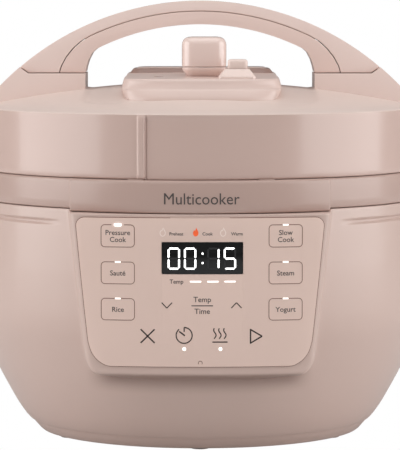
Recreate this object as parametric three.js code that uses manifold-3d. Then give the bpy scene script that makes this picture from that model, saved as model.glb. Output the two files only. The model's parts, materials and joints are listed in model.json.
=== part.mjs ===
// Electric pressure cooker: heated base, removable inner pot, bayonet lid with steam release.
// Millimetres, +Z up, origin on the pot axis at table height, control panel towards -Y.
import * as THREE from 'three';
import { mergeVertices } from 'three/addons/utils/BufferGeometryUtils.js';
import Module from 'manifold-3d';

const wasm = await Module();
wasm.setup();

// ---------------------------------------------------------------- driving dimensions
const GAP = 0.3;                 // clearance between neighbouring pieces
const SEGMENTS = 36;             // facets round the large turned pieces
const SMALL_SEGMENTS = 16;       // facets round the small turned pieces

const BODY_RADIUS = 171;         // widest part of the outer shell
const SHELL_WALL = 3;
const SHELL_TOP = 178.9;         // top edge of the outer shell
const FLOOR_Z = 3.9;             // underside of the shell floor
const FRONT_SEAM_Z = 177.2;      // seam between shell and rim over the control panel

const FACE_RADIUS = 400;         // plan radius of the front face
const FACE_Y = -172.3;           // front face of the bulge at its middle
const FACE_CENTRE_Y = FACE_Y + FACE_RADIUS;
const OVERLAY_THICKNESS = 1.2;

const RIM_TOP = 200.7;
const RIM_BULGE_RADIUS = 172;
const RIM_BULGE_HALF = 92.5;     // half width of the front part of the rim

const LOCK_TABS = 6;             // bayonet tabs on the flange and on the lid
const TAB_ANGLE = 22;            // width of a tab, degrees
const LOCK_TURN = 34;            // turn of the lid between open and locked, degrees

const LID_RADIUS = 168;
const LID_SKIRT_BOTTOM = 201;
const LID_CREST = 265.5;         // lid dome height on the axis
const LID_WALL = 3;

const HANDLE_RADIUS = 208;       // outer arc of the handle
const HANDLE_CENTRE_Z = 117.5;
const SEAM_RADIUS = 191;         // seam between grip and cover
const SEAM_CENTRE_Z = 126.5;
const GRIP_RADIUS = 172;         // underside arc of the grip
const GRIP_CENTRE_Z = 136;
const FOOT_TOP = 271.6;          // top of the two lid feet that carry the handle
const HANDLE_HALF_DEPTH = 20;

const VENT = { x: 3, y: -68 };           // axis of the steam release
const BUTTON = { x: 27.2, y: -95 };      // axis of the release button
const FLOAT = { x: -30, y: -78 };        // axis of the float valve
const LEVER_SHARE = 3 / 8;               // pivot position along the lever, from the vent end
const LEVER_Z = 265.9;
const LEVER_THICKNESS = 2;
const PLATFORM_FRONT = 120.5;            // plan radius of the platform's front edge, about the pot axis
const PLATFORM_WALL = 2;

const SIDE_FOOT_RADIUS = 104.2;          // the four side feet, distance from the axis
const MIDDLE_FOOT_RADIUS = 92;           // the front and back feet
const SCREW_CIRCLE = 91;

// ---------------------------------------------------------------- finishes
const finish = {
  pinkPlastic: () => new THREE.MeshStandardMaterial({ color: 0xd8bcb1, roughness: 0.42, metalness: 0 }),
  palePlastic: () => new THREE.MeshStandardMaterial({ color: 0xe3d0c8, roughness: 0.38, metalness: 0 }),
  panelPink: () => new THREE.MeshStandardMaterial({ color: 0xcdb2a7, roughness: 0.35, metalness: 0 }),
  blackGloss: () => new THREE.MeshStandardMaterial({ color: 0x0b0b0d, roughness: 0.12, metalness: 0 }),
  blackPlastic: () => new THREE.MeshStandardMaterial({ color: 0x242426, roughness: 0.6, metalness: 0 }),
  clearGrey: () => new THREE.MeshStandardMaterial({ color: 0xb9bec2, roughness: 0.25, metalness: 0 }),
  silicone: () => new THREE.MeshStandardMaterial({ color: 0xe9ece8, roughness: 0.7, metalness: 0 }),
  rubber: () => new THREE.MeshStandardMaterial({ color: 0x8f7d76, roughness: 0.85, metalness: 0 }),
  steel: () => new THREE.MeshStandardMaterial({ color: 0xc9ccce, roughness: 0.3, metalness: 1 }),
  aluminium: () => new THREE.MeshStandardMaterial({ color: 0xb9bcc0, roughness: 0.45, metalness: 1 }),
  zinc: () => new THREE.MeshStandardMaterial({ color: 0xa7adb0, roughness: 0.4, metalness: 1 }),
  brass: () => new THREE.MeshStandardMaterial({ color: 0xc6a45a, roughness: 0.35, metalness: 1 }),
  board: () => new THREE.MeshStandardMaterial({ color: 0x2f6b46, roughness: 0.6, metalness: 0 }),
  wire: () => new THREE.MeshStandardMaterial({ color: 0x3a3a3c, roughness: 0.7, metalness: 0 }),
};

// ---------------------------------------------------------------- solid helpers
const radians = THREE.MathUtils.degToRad;

// Watertight solid from any closed three.js geometry.
function solid(geometry) {
  const bare = new THREE.BufferGeometry();
  bare.setAttribute('position', geometry.getAttribute('position').clone());
  bare.setIndex(geometry.getIndex());
  const merged = mergeVertices(bare, 1e-4);
  const index = merged.getIndex().array;
  const triangles = [];
  for (let i = 0; i < index.length; i += 3) {
    const [a, b, c] = [index[i], index[i + 1], index[i + 2]];
    if (a !== b && b !== c && c !== a) {
      triangles.push(a, b, c);
    }
  }
  if (signedVolume(merged.getAttribute('position').array, triangles) < 0) {
    for (let i = 0; i < triangles.length; i += 3) {
      [triangles[i], triangles[i + 1]] = [triangles[i + 1], triangles[i]];
    }
  }
  return new wasm.Manifold(new wasm.Mesh({
    numProp: 3,
    vertProperties: new Float32Array(merged.getAttribute('position').array),
    triVerts: new Uint32Array(triangles),
  }));
}

function signedVolume(position, triangles) {
  const a = new THREE.Vector3();
  const b = new THREE.Vector3();
  const c = new THREE.Vector3();
  let volume = 0;
  for (let i = 0; i < triangles.length; i += 3) {
    a.fromArray(position, 3 * triangles[i]);
    b.fromArray(position, 3 * triangles[i + 1]);
    c.fromArray(position, 3 * triangles[i + 2]);
    volume += a.dot(b.cross(c)) / 6;
  }
  return volume;
}

function addAll(first, others) {
  return others.reduce((sum, other) => sum.add(other), first);
}

function cutAll(first, others) {
  return others.reduce((rest, other) => rest.subtract(other), first);
}

function vectors(pairs) {
  return pairs.map(([x, y]) => new THREE.Vector2(x, y));
}

// Body turned about the Z axis from [radius, height] pairs.
function turned(profile, segments = SEGMENTS) {
  return solid(new THREE.LatheGeometry(vectors(profile), segments).rotateX(Math.PI / 2));
}

// The same, for a cross-section that closes on itself away from the axis.
function turnedRing(profile, segments = SEGMENTS) {
  return turned([...profile, profile[0]], segments);
}

function block(x0, x1, y0, y1, z0, z1) {
  const box = new THREE.BoxGeometry(x1 - x0, y1 - y0, z1 - z0);
  return solid(box.translate((x0 + x1) / 2, (y0 + y1) / 2, (z0 + z1) / 2));
}

// Upright round bar.
function bar(radius, z0, z1, x = 0, y = 0, segments = SMALL_SEGMENTS) {
  const cylinder = new THREE.CylinderGeometry(radius, radius, z1 - z0, segments);
  return solid(cylinder.rotateX(Math.PI / 2).translate(x, y, (z0 + z1) / 2));
}

// Round bar lying along Y.
function barAlongY(radius, y0, y1, x, z, segments = 12) {
  const cylinder = new THREE.CylinderGeometry(radius, radius, y1 - y0, segments);
  return solid(cylinder.translate(x, (y0 + y1) / 2, z));
}

function prism(pairs, depth) {
  return new THREE.ExtrudeGeometry(new THREE.Shape(vectors(pairs)), { depth, bevelEnabled: false });
}

// Plan outline [x, y] raised from z0 to z1.
function raised(pairs, z0, z1) {
  return solid(prism(pairs, z1 - z0).translate(0, 0, z0));
}

// Front outline [x, z] carried from y0 to y1.
function carriedBack(pairs, y0, y1) {
  return solid(prism(pairs, y1 - y0).rotateX(Math.PI / 2).translate(0, y1, 0));
}

// Side outline [y, z] carried from x0 to x1.
function carriedAcross(pairs, x0, x1) {
  const axes = new THREE.Matrix4().makeBasis(
    new THREE.Vector3(0, 1, 0),
    new THREE.Vector3(0, 0, 1),
    new THREE.Vector3(1, 0, 0),
  );
  return solid(prism(pairs, x1 - x0).applyMatrix4(axes).translate(x0, 0, 0));
}

// Closed body through plan loops of equal length, listed from the bottom up.
function loft(loops) {
  const count = loops[0].length;
  const positions = loops.flat(2);
  const indices = [];
  for (let level = 0; level < loops.length - 1; level += 1) {
    for (let i = 0; i < count; i += 1) {
      const a = level * count + i;
      const b = level * count + (i + 1) % count;
      indices.push(a, b, b + count, a, b + count, a + count);
    }
  }
  const outline = vectors(loops[0]);
  const top = (loops.length - 1) * count;
  THREE.ShapeUtils.triangulateShape(outline, []).forEach(([a, b, c]) => {
    indices.push(a, c, b, top + a, top + b, top + c);
  });
  const geometry = new THREE.BufferGeometry();
  geometry.setAttribute('position', new THREE.Float32BufferAttribute(positions, 3));
  geometry.setIndex(indices);
  return solid(geometry);
}

// Rounded rectangle in plan at height z.
function roundedLoop(cx, cy, halfX, halfY, corner, z, steps = 3) {
  const loop = [];
  for (let quarter = 0; quarter < 4; quarter += 1) {
    const sx = quarter === 0 || quarter === 3 ? 1 : -1;
    const sy = quarter < 2 ? 1 : -1;
    for (let step = 0; step <= steps; step += 1) {
      const angle = (quarter + step / steps) * Math.PI / 2;
      const x = cx + sx * (halfX - corner) + corner * Math.cos(angle);
      const y = cy + sy * (halfY - corner) + corner * Math.sin(angle);
      loop.push([x, y, z]);
    }
  }
  return loop;
}

// Sector of a ring between two angles in degrees.
function ringSector(r0, r1, z0, z1, from, to, steps = 3) {
  const pairs = [];
  for (let step = 0; step <= steps; step += 1) {
    const angle = radians(from + (to - from) * step / steps);
    pairs.push([r1 * Math.cos(angle), r1 * Math.sin(angle)]);
  }
  for (let step = steps; step >= 0; step -= 1) {
    const angle = radians(from + (to - from) * step / steps);
    pairs.push([r0 * Math.cos(angle), r0 * Math.sin(angle)]);
  }
  return raised(pairs, z0, z1);
}

// Round bar bent along a curve.
function bent(curve, radius, steps, sides = 6) {
  const section = new THREE.Shape();
  for (let i = 0; i < sides; i += 1) {
    const angle = 2 * Math.PI * i / sides;
    section[i === 0 ? 'moveTo' : 'lineTo'](radius * Math.cos(angle), radius * Math.sin(angle));
  }
  return solid(new THREE.ExtrudeGeometry(section, { steps, extrudePath: curve, bevelEnabled: false }));
}

class Coil extends THREE.Curve {
  constructor(x, y, radius, z0, z1, turns) {
    super();
    Object.assign(this, { x, y, radius, z0, z1, turns });
  }

  getPoint(t, target = new THREE.Vector3()) {
    const angle = 2 * Math.PI * this.turns * t;
    return target.set(
      this.x + this.radius * Math.cos(angle),
      this.y + this.radius * Math.sin(angle),
      this.z0 + (this.z1 - this.z0) * t,
    );
  }
}

// Points of a circular arc in the XZ plane, from x0 to x1, about (0, centreZ).
function arcPoints(radius, centreZ, x0, x1, steps) {
  const points = [];
  for (let step = 0; step <= steps; step += 1) {
    const x = x0 + (x1 - x0) * step / steps;
    points.push([x, centreZ + Math.sqrt(radius ** 2 - x ** 2)]);
  }
  return points;
}

const root = new THREE.Group();
root.name = 'electric_pressure_cooker';

function place(name, body, material) {
  const data = body.getMesh();
  const geometry = new THREE.BufferGeometry();
  geometry.setAttribute('position', new THREE.BufferAttribute(new Float32Array(data.vertProperties), 3));
  geometry.setIndex(new THREE.BufferAttribute(new Uint32Array(data.triVerts), 1));
  const flat = geometry.toNonIndexed();
  flat.computeVertexNormals();
  const mesh = new THREE.Mesh(flat, material());
  mesh.name = name;
  root.add(mesh);
}

// ---------------------------------------------------------------- outer shell
const shellOutside = [
  [0, FLOOR_Z], [118, FLOOR_Z], [121.8, 5.6], [124.4, 8.6], [133.4, 17.4], [141.6, 31],
  [149.2, 44.6], [158, 63], [164, 77],
  [168.5, 89], [170.8, 101], [BODY_RADIUS, 135], [170.2, 166.2], [168.2, 167], [168.2, 170.6],
  [169.9, 171.4], [169.4, SHELL_TOP], [0, SHELL_TOP],
];
const shellInside = [
  [0, 6.9], [117, 6.9], [122.3, 10.8], [131.2, 19.6], [138.9, 32.5], [146.6, 46.1], [155.2, 64.4],
  [161, 78], [165.5, 90], [167.8, 101.5], [168, 135], [165.2, 163], [165.2, 190], [0, 190],
];

// Plan loop of the front bulge, drawn in by the wall thickness for its inside.
function bulgeLoop(z, halfWidth, faceY, inset) {
  const half = halfWidth - inset;
  const corner = 5;
  const back = -100;
  const faceAt = (x) => faceY + inset + FACE_RADIUS - Math.sqrt(FACE_RADIUS ** 2 - x ** 2);
  const loop = [[-half, back, z], [-half, faceAt(half) + corner, z]];
  const steps = 8;
  for (let step = 0; step <= steps; step += 1) {
    const x = (half - corner) * (2 * step / steps - 1);
    loop.push([x, faceAt(x), z]);
  }
  loop.push([half, faceAt(half) + corner, z], [half, back, z]);
  return loop;
}

function bulge(inset) {
  const lipDrop = inset > 0 ? 2 : 0;
  return loft([
    bulgeLoop(57 + lipDrop, 66, FACE_Y + 14, inset),
    bulgeLoop(63.5 + lipDrop, 74, FACE_Y + 3, inset),
    bulgeLoop(69 + lipDrop, 80, FACE_Y, inset),
    bulgeLoop(inset > 0 ? 190 : FRONT_SEAM_Z, 92.5, FACE_Y, inset),
  ]);
}

const display = { x0: -26.9, x1: 30.2, z0: 135.3, z1: 158 };
const inlet = { half: 15, z0: 68.3, z1: 91.7 };
const collector = { half: 29.9, y0: 156, y1: 173.8, z0: 104, z1: 160 };

const screwAngles = [0, 120, 240];

function onCircle(radius, degrees) {
  return [radius * Math.cos(radians(degrees)), radius * Math.sin(radians(degrees))];
}

const footPlaces = [-21.4, -90, -158.6, 21.4, 90, 158.6].map((angle) => onCircle(
  Math.abs(angle) === 90 ? MIDDLE_FOOT_RADIUS : SIDE_FOOT_RADIUS,
  angle,
));

function makeBodyShell() {
  const pocketWall = block(
    -collector.half - 3.4, collector.half + 3.4, collector.y0 - 3.5, 190,
    collector.z0 - 3.3, collector.z1 + 6,
  );
  const cavity = turned(shellInside).add(bulge(SHELL_WALL)).subtract(pocketWall);
  const shell = turned(shellOutside).add(bulge(0)).subtract(cavity);
  const openings = [
    block(-RIM_BULGE_HALF - 2, RIM_BULGE_HALF + 2, -200, -120, FRONT_SEAM_Z, 190),
    block(
      -collector.half - GAP, collector.half + GAP, collector.y0 - GAP, 200,
      collector.z0 - GAP, collector.z1 + 3,
    ),
    block(-inlet.half - GAP, inlet.half + GAP, 120, 200, inlet.z0 - GAP, inlet.z1 + GAP),
    block(display.x0 + 1, display.x1 - 1, -190, -150, display.z0 + 1, display.z1 - 1),
    bar(84, 0, 10, 0, 0, SEGMENTS),
    ...footPlaces.map(([x, y]) => bar(2.8, 0, 10, x, y, 8)),
    ...screwAngles.map((angle) => bar(2.1, 0, 10, ...onCircle(SCREW_CIRCLE, angle), 8)),
  ];
  return cutAll(shell, openings);
}

function makeRimCollar() {
  const trough = turnedRing([
    [169.2, 179.2], [169.2, 194], [167, 199.3], [163, RIM_TOP], [148, RIM_TOP], [146.5, 199.4],
    [146.5, 174.5], [120.5, 174.5], [120.5, 171.5], [149.5, 171.5], [149.5, 197.7], [163, 197.7],
    [166.2, 194], [166.2, 179.2],
  ]);
  const front = [
    [0, FRONT_SEAM_Z + GAP], [0, 194], [2.6, 199.6], [7, RIM_TOP],
  ].map(([inset, z]) => rimLoop(RIM_BULGE_RADIUS - inset, RIM_BULGE_HALF - inset / 2, z));
  return trough.add(loft(front));
}

function rimLoop(radius, half, z) {
  const steps = 8;
  const reach = Math.asin(half / radius);
  const loop = [];
  for (let step = 0; step <= steps; step += 1) {
    const angle = reach * (2 * step / steps - 1);
    loop.push([radius * Math.sin(angle), -radius * Math.cos(angle), z]);
  }
  const inner = 158;
  for (let step = steps; step >= 0; step -= 1) {
    const angle = Math.asin(half / radius) * (2 * step / steps - 1);
    loop.push([inner * Math.sin(angle), -inner * Math.cos(angle), z]);
  }
  return loop;
}

function makeBasePlate() {
  const plate = turned([[0, 7.2], [100, 7.2], [100, 8.7], [0, 8.7]]);
  const posts = [30, 150, 270].map((angle) => bar(5, 8, 15.7, ...onCircle(78, angle), 8));
  const vents = [];
  for (let i = -3; i <= 3; i += 1) {
    if (i !== 0) {
      vents.push(block(-42, 42, 9 * i - 1.5, 9 * i + 1.5, 5, 10));
    }
  }
  const holes = screwAngles.map((angle) => bar(2.1, 5, 10, ...onCircle(SCREW_CIRCLE, angle), 8));
  return cutAll(addAll(plate, posts), [...vents, ...holes]);
}

function makeFoot([x, y]) {
  const foot = turned([[0, 0], [6.8, 0], [7.5, 0.8], [7.5, 3.6], [2.5, 3.6], [2.5, 6.6], [0, 6.6]], 12);
  return foot.translate([x, y, 0]);
}

function makeBaseScrew(angle) {
  const screw = turned([[0, 2.2], [3.2, 2.2], [3.2, 3.6], [1.8, 3.6], [1.8, 11.5], [0, 11.5]], 8);
  return screw.translate([...onCircle(SCREW_CIRCLE, angle), 0]);
}

place('body_shell', makeBodyShell(), finish.pinkPlastic);
place('rim_collar', makeRimCollar(), finish.pinkPlastic);
place('base_plate', makeBasePlate(), finish.steel);
footPlaces.forEach((spot, i) => place(`foot_${i + 1}`, makeFoot(spot), finish.rubber));
screwAngles.forEach((angle, i) => place(`base_screw_${i + 1}`, makeBaseScrew(angle), finish.zinc));

// ---------------------------------------------------------------- heating group
place('outer_pot', turnedRing([
  [22, 16], [114, 16], [118.3, 20], [118.3, 181.3], [124, 181.3], [124, 182.9], [116.8, 182.9],
  [116.8, 21], [113.5, 17.5], [22, 17.5],
]), finish.aluminium);

function makeLockingFlange() {
  const ring = turnedRing([[116.8, 183.2], [126, 183.2], [126, 187], [116.8, 187]]);
  const tabs = [];
  for (let i = 0; i < LOCK_TABS; i += 1) {
    const middle = i * 360 / LOCK_TABS;
    tabs.push(ringSector(124, 133, 183.2, 187, middle - TAB_ANGLE / 2, middle + TAB_ANGLE / 2));
  }
  return addAll(ring, tabs);
}

place('locking_flange', makeLockingFlange(), finish.steel);
place('heating_plate', turnedRing(
  [[15.3, 22], [86, 22], [90, 26], [90, 29], [88, 30], [15.3, 30]], 24,
), finish.aluminium);
place('heating_element', turnedRing(
  [[58, 19.8], [59, 17.9], [61, 17.9], [62, 19.8], [61, 21.7], [59, 21.7]], 24,
), finish.steel);
place('temperature_sensor', turned(
  [[0, 12], [4.5, 12], [4.5, 24], [13, 24], [14, 25], [14, 29.2], [13, 30], [0, 30]], SMALL_SEGMENTS,
), finish.aluminium);
place('sensor_spring', bent(new Coil(0, 0, 7.5, 9.9, 22.9, 4), 0.8, 32, 5), finish.steel);
place('pressure_switch', block(36, 60, -10, 10, 9.2, 15.7), finish.blackPlastic);
place('thermal_fuse', barAlongY(3, -12, 12, -46, 12.4), finish.steel);

// ---------------------------------------------------------------- control panel and electronics
function panelOutline() {
  const left = [[-83.5, 174.6], [-87.2, 171], [-84.2, 140], [-80.8, 107], [-78.7, 87.6]];
  const corner = [[-76.6, 80], [-72.4, 74.3], [-65.6, 70.4]];
  const half = [...left, ...corner];
  const mirrored = half.map(([x, z]) => [-x, z]).reverse();
  return [...half, ...mirrored];
}

// Curved sheet lying on the front face.
function faceSheet() {
  const steps = 12;
  const reach = radians(14);
  const pairs = [];
  [GAP + OVERLAY_THICKNESS, GAP].forEach((offset, side) => {
    for (let step = 0; step <= steps; step += 1) {
      const share = side === 0 ? step / steps : 1 - step / steps;
      const angle = reach * (2 * share - 1);
      const radius = FACE_RADIUS + offset;
      pairs.push([radius * Math.sin(angle), FACE_CENTRE_Y - radius * Math.cos(angle)]);
    }
  });
  return raised(pairs, 60, 180);
}

const windowBlock = (inset) => block(
  display.x0 + inset, display.x1 - inset, -190, -160, display.z0 + inset, display.z1 - inset,
);

place('panel_overlay', faceSheet().intersect(carriedBack(panelOutline(), -190, -150))
  .subtract(windowBlock(0)), finish.panelPink);
place('display_window', faceSheet().intersect(windowBlock(GAP)), finish.blackGloss);
place('display_module', block(-28, 31, -167.4, -157.8, 133, 160), finish.blackPlastic);
place('control_board', block(-75, 75, -157.5, -155.9, 84, 168), finish.board);

function makePanelCarrier() {
  const plate = block(-75, 75, -155.6, -153.6, 82, 170);
  const posts = [-40, 40].flatMap((x) => [92, 142].map((z) => barAlongY(3.5, -154, -146.3, x, z, 8)));
  return addAll(plate, posts);
}

place('panel_carrier', makePanelCarrier(), finish.blackPlastic);
place('power_board', block(-46, 46, -146, -144.4, 66, 150), finish.board);
place('transformer', block(-36, -12, -144.1, -126, 72, 96), finish.brass);
place('relay', block(8, 28, -144.1, -128, 72, 100), finish.blackPlastic);
place('capacitor', barAlongY(6.5, -144.1, -126, 34, 122), finish.aluminium);

// ---------------------------------------------------------------- power inlet and wiring
const inletPins = { live: [-6, 78], neutral: [6, 78], earth: [0, 83.5] };
const pinBlock = ([x, z], grow, y0, y1) => block(
  x - 1 - grow, x + 1 + grow, y0, y1, z - 2 - grow, z + 2 + grow,
);

function makePowerInlet() {
  const housing = block(-inlet.half, inlet.half, 138, 167, inlet.z0, inlet.z1);
  const socket = block(-11.5, 11.5, 147, 170, 72, 88);
  const holes = Object.values(inletPins).map((pin) => pinBlock(pin, GAP, 130, 150));
  return cutAll(housing, [socket, ...holes]);
}

place('power_inlet', makePowerInlet(), finish.blackPlastic);
Object.entries(inletPins).forEach(([name, pin]) => {
  place(`inlet_pin_${name}`, pinBlock(pin, 0, 134, 162), finish.brass);
});

function makePowerHarness() {
  const path = [[0, 130, 79]];
  for (let angle = 75; angle >= -60; angle -= 27) {
    path.push([...onCircle(139, angle), 72]);
  }
  path.push([54, -138, 80]);
  return bent(new THREE.CatmullRomCurve3(path.map((p) => new THREE.Vector3(...p))), 2.6, 26);
}

place('power_harness', makePowerHarness(), finish.wire);

function makeCondensationCollector() {
  const cup = block(-collector.half, collector.half, collector.y0, collector.y1, collector.z0, collector.z1);
  const wall = 1.6;
  return cup.subtract(block(
    -collector.half + wall, collector.half - wall, collector.y0 + wall, collector.y1 - wall,
    collector.z0 + wall, collector.z1 + 1,
  ));
}

place('condensation_collector', makeCondensationCollector(), finish.clearGrey);

// ---------------------------------------------------------------- inner pot and seal
place('inner_pot', turned([
  [0, 30.3], [104, 30.3], [109, 32], [112.2, 37], [112.2, 186], [113.5, 187.6], [121, 187.6],
  [121, 189.1], [112.5, 189.1], [111, 187.5], [111, 38], [108, 36], [104, 35.3], [0, 35.3],
]), finish.steel);
place('sealing_ring', turnedRing([
  [112.6, 189.4], [121.5, 189.4], [122.5, 190.4], [122.5, 194.2], [121.5, 195.2], [113.6, 195.2],
  [112.6, 194.2],
]), finish.silicone);

function makeRingRack() {
  const hoop = turnedRing([
    [109.9, 192.3], [110.4, 191.4], [111.2, 191.4], [111.7, 192.3], [111.2, 193.2], [110.4, 193.2],
  ]);
  const legs = [];
  for (let i = 0; i < 6; i += 1) {
    legs.push(ringSector(110.2, 111.4, 192.6, 195.2, 60 * i + 9, 60 * i + 11, 1));
  }
  return addAll(hoop, legs);
}

place('ring_rack', makeRingRack(), finish.steel);

// ---------------------------------------------------------------- lid
// Height of the lid dome at a distance from the axis.
const domeHeight = (radius) => LID_CREST - 6.7e-4 * radius ** 2;

function domeProfile(drop, edge) {
  const radii = [0, 45, 80, 112, 138, edge];
  return radii.map((radius) => [radius, domeHeight(radius) - drop]);
}

function lidOutside() {
  const shoulder = [
    [165.6, 245.6], [LID_RADIUS, 242.2], [LID_RADIUS, LID_SKIRT_BOTTOM], [0, LID_SKIRT_BOTTOM],
  ];
  return turned([...domeProfile(0, 160.5), ...shoulder]);
}

function lidInside() {
  const shoulder = [[162.8, 243.4], [165, 240.5], [165, 190], [0, 190]];
  return turned([...domeProfile(LID_WALL, 158), ...shoulder]);
}

// One side of the lid's handle mount, in the XZ plane.
function footOutline(side) {
  const outline = [
    [85.6, 240], [85.6, FOOT_TOP], [128, FOOT_TOP], [133.7, 275.4], [140, 270.8], [150, 261.2],
    [158.5, 251.6], [158.5, 240],
  ];
  return side > 0 ? outline.reverse() : outline.map(([x, z]) => [-x, z]);
}

function makeLidCover() {
  const feet = [-1, 1].map((side) => carriedBack(footOutline(side), -27, 27));
  const insideLid = lidInside();
  const hollowFeet = [-1, 1].map((side) => block(
    Math.min(side * 108, side * 142), Math.max(side * 108, side * 142), -22, 22, 235, 262,
  ));
  const rib = ringSector(166, 169.2, 203.5, 243, -106.2, -104.4, 1);
  const cover = addAll(lidOutside(), [...feet, rib]);
  const boss = bar(9, 236, 263, 0, 0, 12);
  const holes = [
    bar(3.4, 230, 252, 0, 0, 12),
    bar(10.5, 230, 280, VENT.x, VENT.y),
    bar(9, 230, 280, BUTTON.x, BUTTON.y, 12),
    bar(4, 230, 280, FLOAT.x, FLOAT.y, 12),
    ...[-1, 1].map((side) => bar(2.4, 230, 280, side * 96, 0, 8)),
  ];
  return cutAll(cover.subtract(insideLid).add(boss), [...hollowFeet, ...holes]);
}

place('lid_cover', makeLidCover(), finish.palePlastic);

function makeLidPlate() {
  const dish = turned([
    [0, 232], [70, 229], [98, 222], [104, 212], [106, 197], [107.5, 195.5], [134.5, 195.5],
    [136, 194], [136, 178.6], [137.5, 178.6], [137.5, 195], [135.4, 197], [108.2, 197],
    [107.5, 198], [105.5, 212.6], [99, 223.3], [70, 230.5], [0, 233.5],
  ]);
  const tabs = [];
  for (let i = 0; i < LOCK_TABS; i += 1) {
    const middle = i * 360 / LOCK_TABS - LOCK_TURN;
    tabs.push(ringSector(128, 136.8, 178.6, 181.8, middle - TAB_ANGLE / 2, middle + TAB_ANGLE / 2));
  }
  return cutAll(addAll(dish, tabs), [
    bar(3.4, 225, 240, 0, 0, 12),
    bar(5.4, 220, 240, VENT.x, VENT.y, 12),
    bar(3.2, 215, 240, FLOAT.x, FLOAT.y, 12),
  ]);
}

place('lid_plate', makeLidPlate(), finish.steel);
place('lid_liner', turnedRing([
  [138.1, 190], [139.6, 190], [139.6, 201.4], [164.4, 201.4], [164.4, 203.4], [138.1, 203.4],
]), finish.palePlastic);
place('lid_bolt', turned([
  [0, 227.8], [6, 227.8], [7, 228.8], [7, 231.6], [3, 231.6], [3, 250], [0, 250],
], 12), finish.zinc);

// ---------------------------------------------------------------- handle
function makeHandleGrip() {
  const underside = arcPoints(GRIP_RADIUS, GRIP_CENTRE_Z, -78, 78, 8);
  const right = [[83.3, 280], [85.9, FOOT_TOP + GAP], [105, FOOT_TOP + GAP], [100, 283], [91, 293]];
  const topside = arcPoints(SEAM_RADIUS, SEAM_CENTRE_Z, 80, -80, 8);
  const left = right.map(([x, z]) => [-x, z]).reverse();
  const outline = [...underside, ...right, ...topside, ...left];
  const grip = carriedBack(outline, -HANDLE_HALF_DEPTH, HANDLE_HALF_DEPTH);
  const holes = [-1, 1].map((side) => bar(2.2, 260, 287, side * 96, 0, 8));
  return cutAll(grip, holes);
}

function makeHandleCover() {
  const underside = arcPoints(SEAM_RADIUS + GAP, SEAM_CENTRE_Z, -80, 80, 8);
  const right = [
    [91.3, 293.4], [100.4, 283.2], [105.4, FOOT_TOP + GAP], [127.8, FOOT_TOP + GAP], [133.4, 275.8],
  ];
  const crown = arcPoints(HANDLE_RADIUS, HANDLE_CENTRE_Z, 133, -133, 12);
  const left = right.map(([x, z]) => [-x, z]).reverse();
  const outline = [...underside, ...right, ...crown, ...left];
  return carriedBack(outline, -HANDLE_HALF_DEPTH, HANDLE_HALF_DEPTH);
}

place('handle_grip', makeHandleGrip(), finish.palePlastic);
place('handle_cover', makeHandleCover(), finish.palePlastic);
[['left', -96], ['right', 96]].forEach(([side, x]) => {
  const screw = turned([[0, 248], [4, 248], [4, 251], [1.9, 251], [1.9, 285], [0, 285]], 8);
  place(`handle_screw_${side}`, screw.translate([x, 0, 0]), finish.zinc);
});

// ---------------------------------------------------------------- steam release platform
const platformSide = [
  [-125, 245], [-125, 269.2], [-30, 272.8], [-20, 276.3], [16, 276.3], [34, 268], [42, 245],
];
const platformFront = [
  [-60.5, 245], [60.5, 245], [60.5, 260.5], [58, 264], [55.5, 269], [47.5, 276.4], [-47.5, 276.4],
  [-55.5, 269], [-58, 264], [-60.5, 260.5],
];

function platformBlock(inset) {
  const scaleTo = (half) => (half - inset) / half;
  const side = platformSide.map(([y, z]) => [y * scaleTo(120), z > 250 ? z - inset : z]);
  const step = turned([
    [0, 240], [PLATFORM_FRONT, 240], [PLATFORM_FRONT, 261.2], [PLATFORM_FRONT - 4, 263],
    [PLATFORM_FRONT - 8.5, 269.7], [PLATFORM_FRONT - 20, 285], [0, 285],
  ].map(([r, z]) => [Math.max(r - inset, 0), z > 250 ? z - inset : z]));
  const front = platformFront.map(([x, z]) => [x * scaleTo(60), z > 250 ? z - inset : z]);
  const plan = roundedLoop(0, -39.25, 60.5 - inset, 81.25 - inset, 16 - inset, 0, 3)
    .map(([x, y]) => [x, y]);
  return [carriedBack(front, -130, 60), raised(plan, 240, 290), step]
    .reduce((rest, other) => rest.intersect(other), carriedAcross(side, -70, 70));
}

// Horizontal line from the button to the vent; the lever pivots square to it.
const leverRun = { x: VENT.x - BUTTON.x, y: VENT.y - BUTTON.y };
const leverLength = Math.hypot(leverRun.x, leverRun.y);
const pivot = {
  x: VENT.x - leverRun.x * LEVER_SHARE,
  y: VENT.y - leverRun.y * LEVER_SHARE,
};
const leverHeading = Math.atan2(leverRun.y, leverRun.x);

// Turns a piece drawn along +X at the origin into place along the lever.
function alongLever(geometry) {
  return solid(geometry.rotateZ(leverHeading).translate(pivot.x, pivot.y, LEVER_Z));
}

const pivotBar = (radius, length) => alongLever(
  new THREE.CylinderGeometry(radius, radius, length, 12),
);

function makeVentPlatform() {
  const lugs = [-1, 1].map((side) => alongLever(new THREE.BoxGeometry(4, 2.4, 5.5)
    .translate(0, side * 6.2, 0.6)));
  const cover = addAll(platformBlock(0).subtract(platformBlock(PLATFORM_WALL)), lugs);
  const dome = turned([...domeProfile(-GAP, 160), [160, 200], [0, 200]]);
  return cutAll(cover, [
    dome,
    pivotBar(1.1, 20),
    bar(11.2, 240, 290, VENT.x, VENT.y),
    bar(4, 240, 290, FLOAT.x, FLOAT.y, 12),
    block(12, 40.6, BUTTON.y - 9, BUTTON.y + 9, 240, 290),
  ]);
}

place('vent_platform', makeVentPlatform(), finish.palePlastic);

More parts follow.
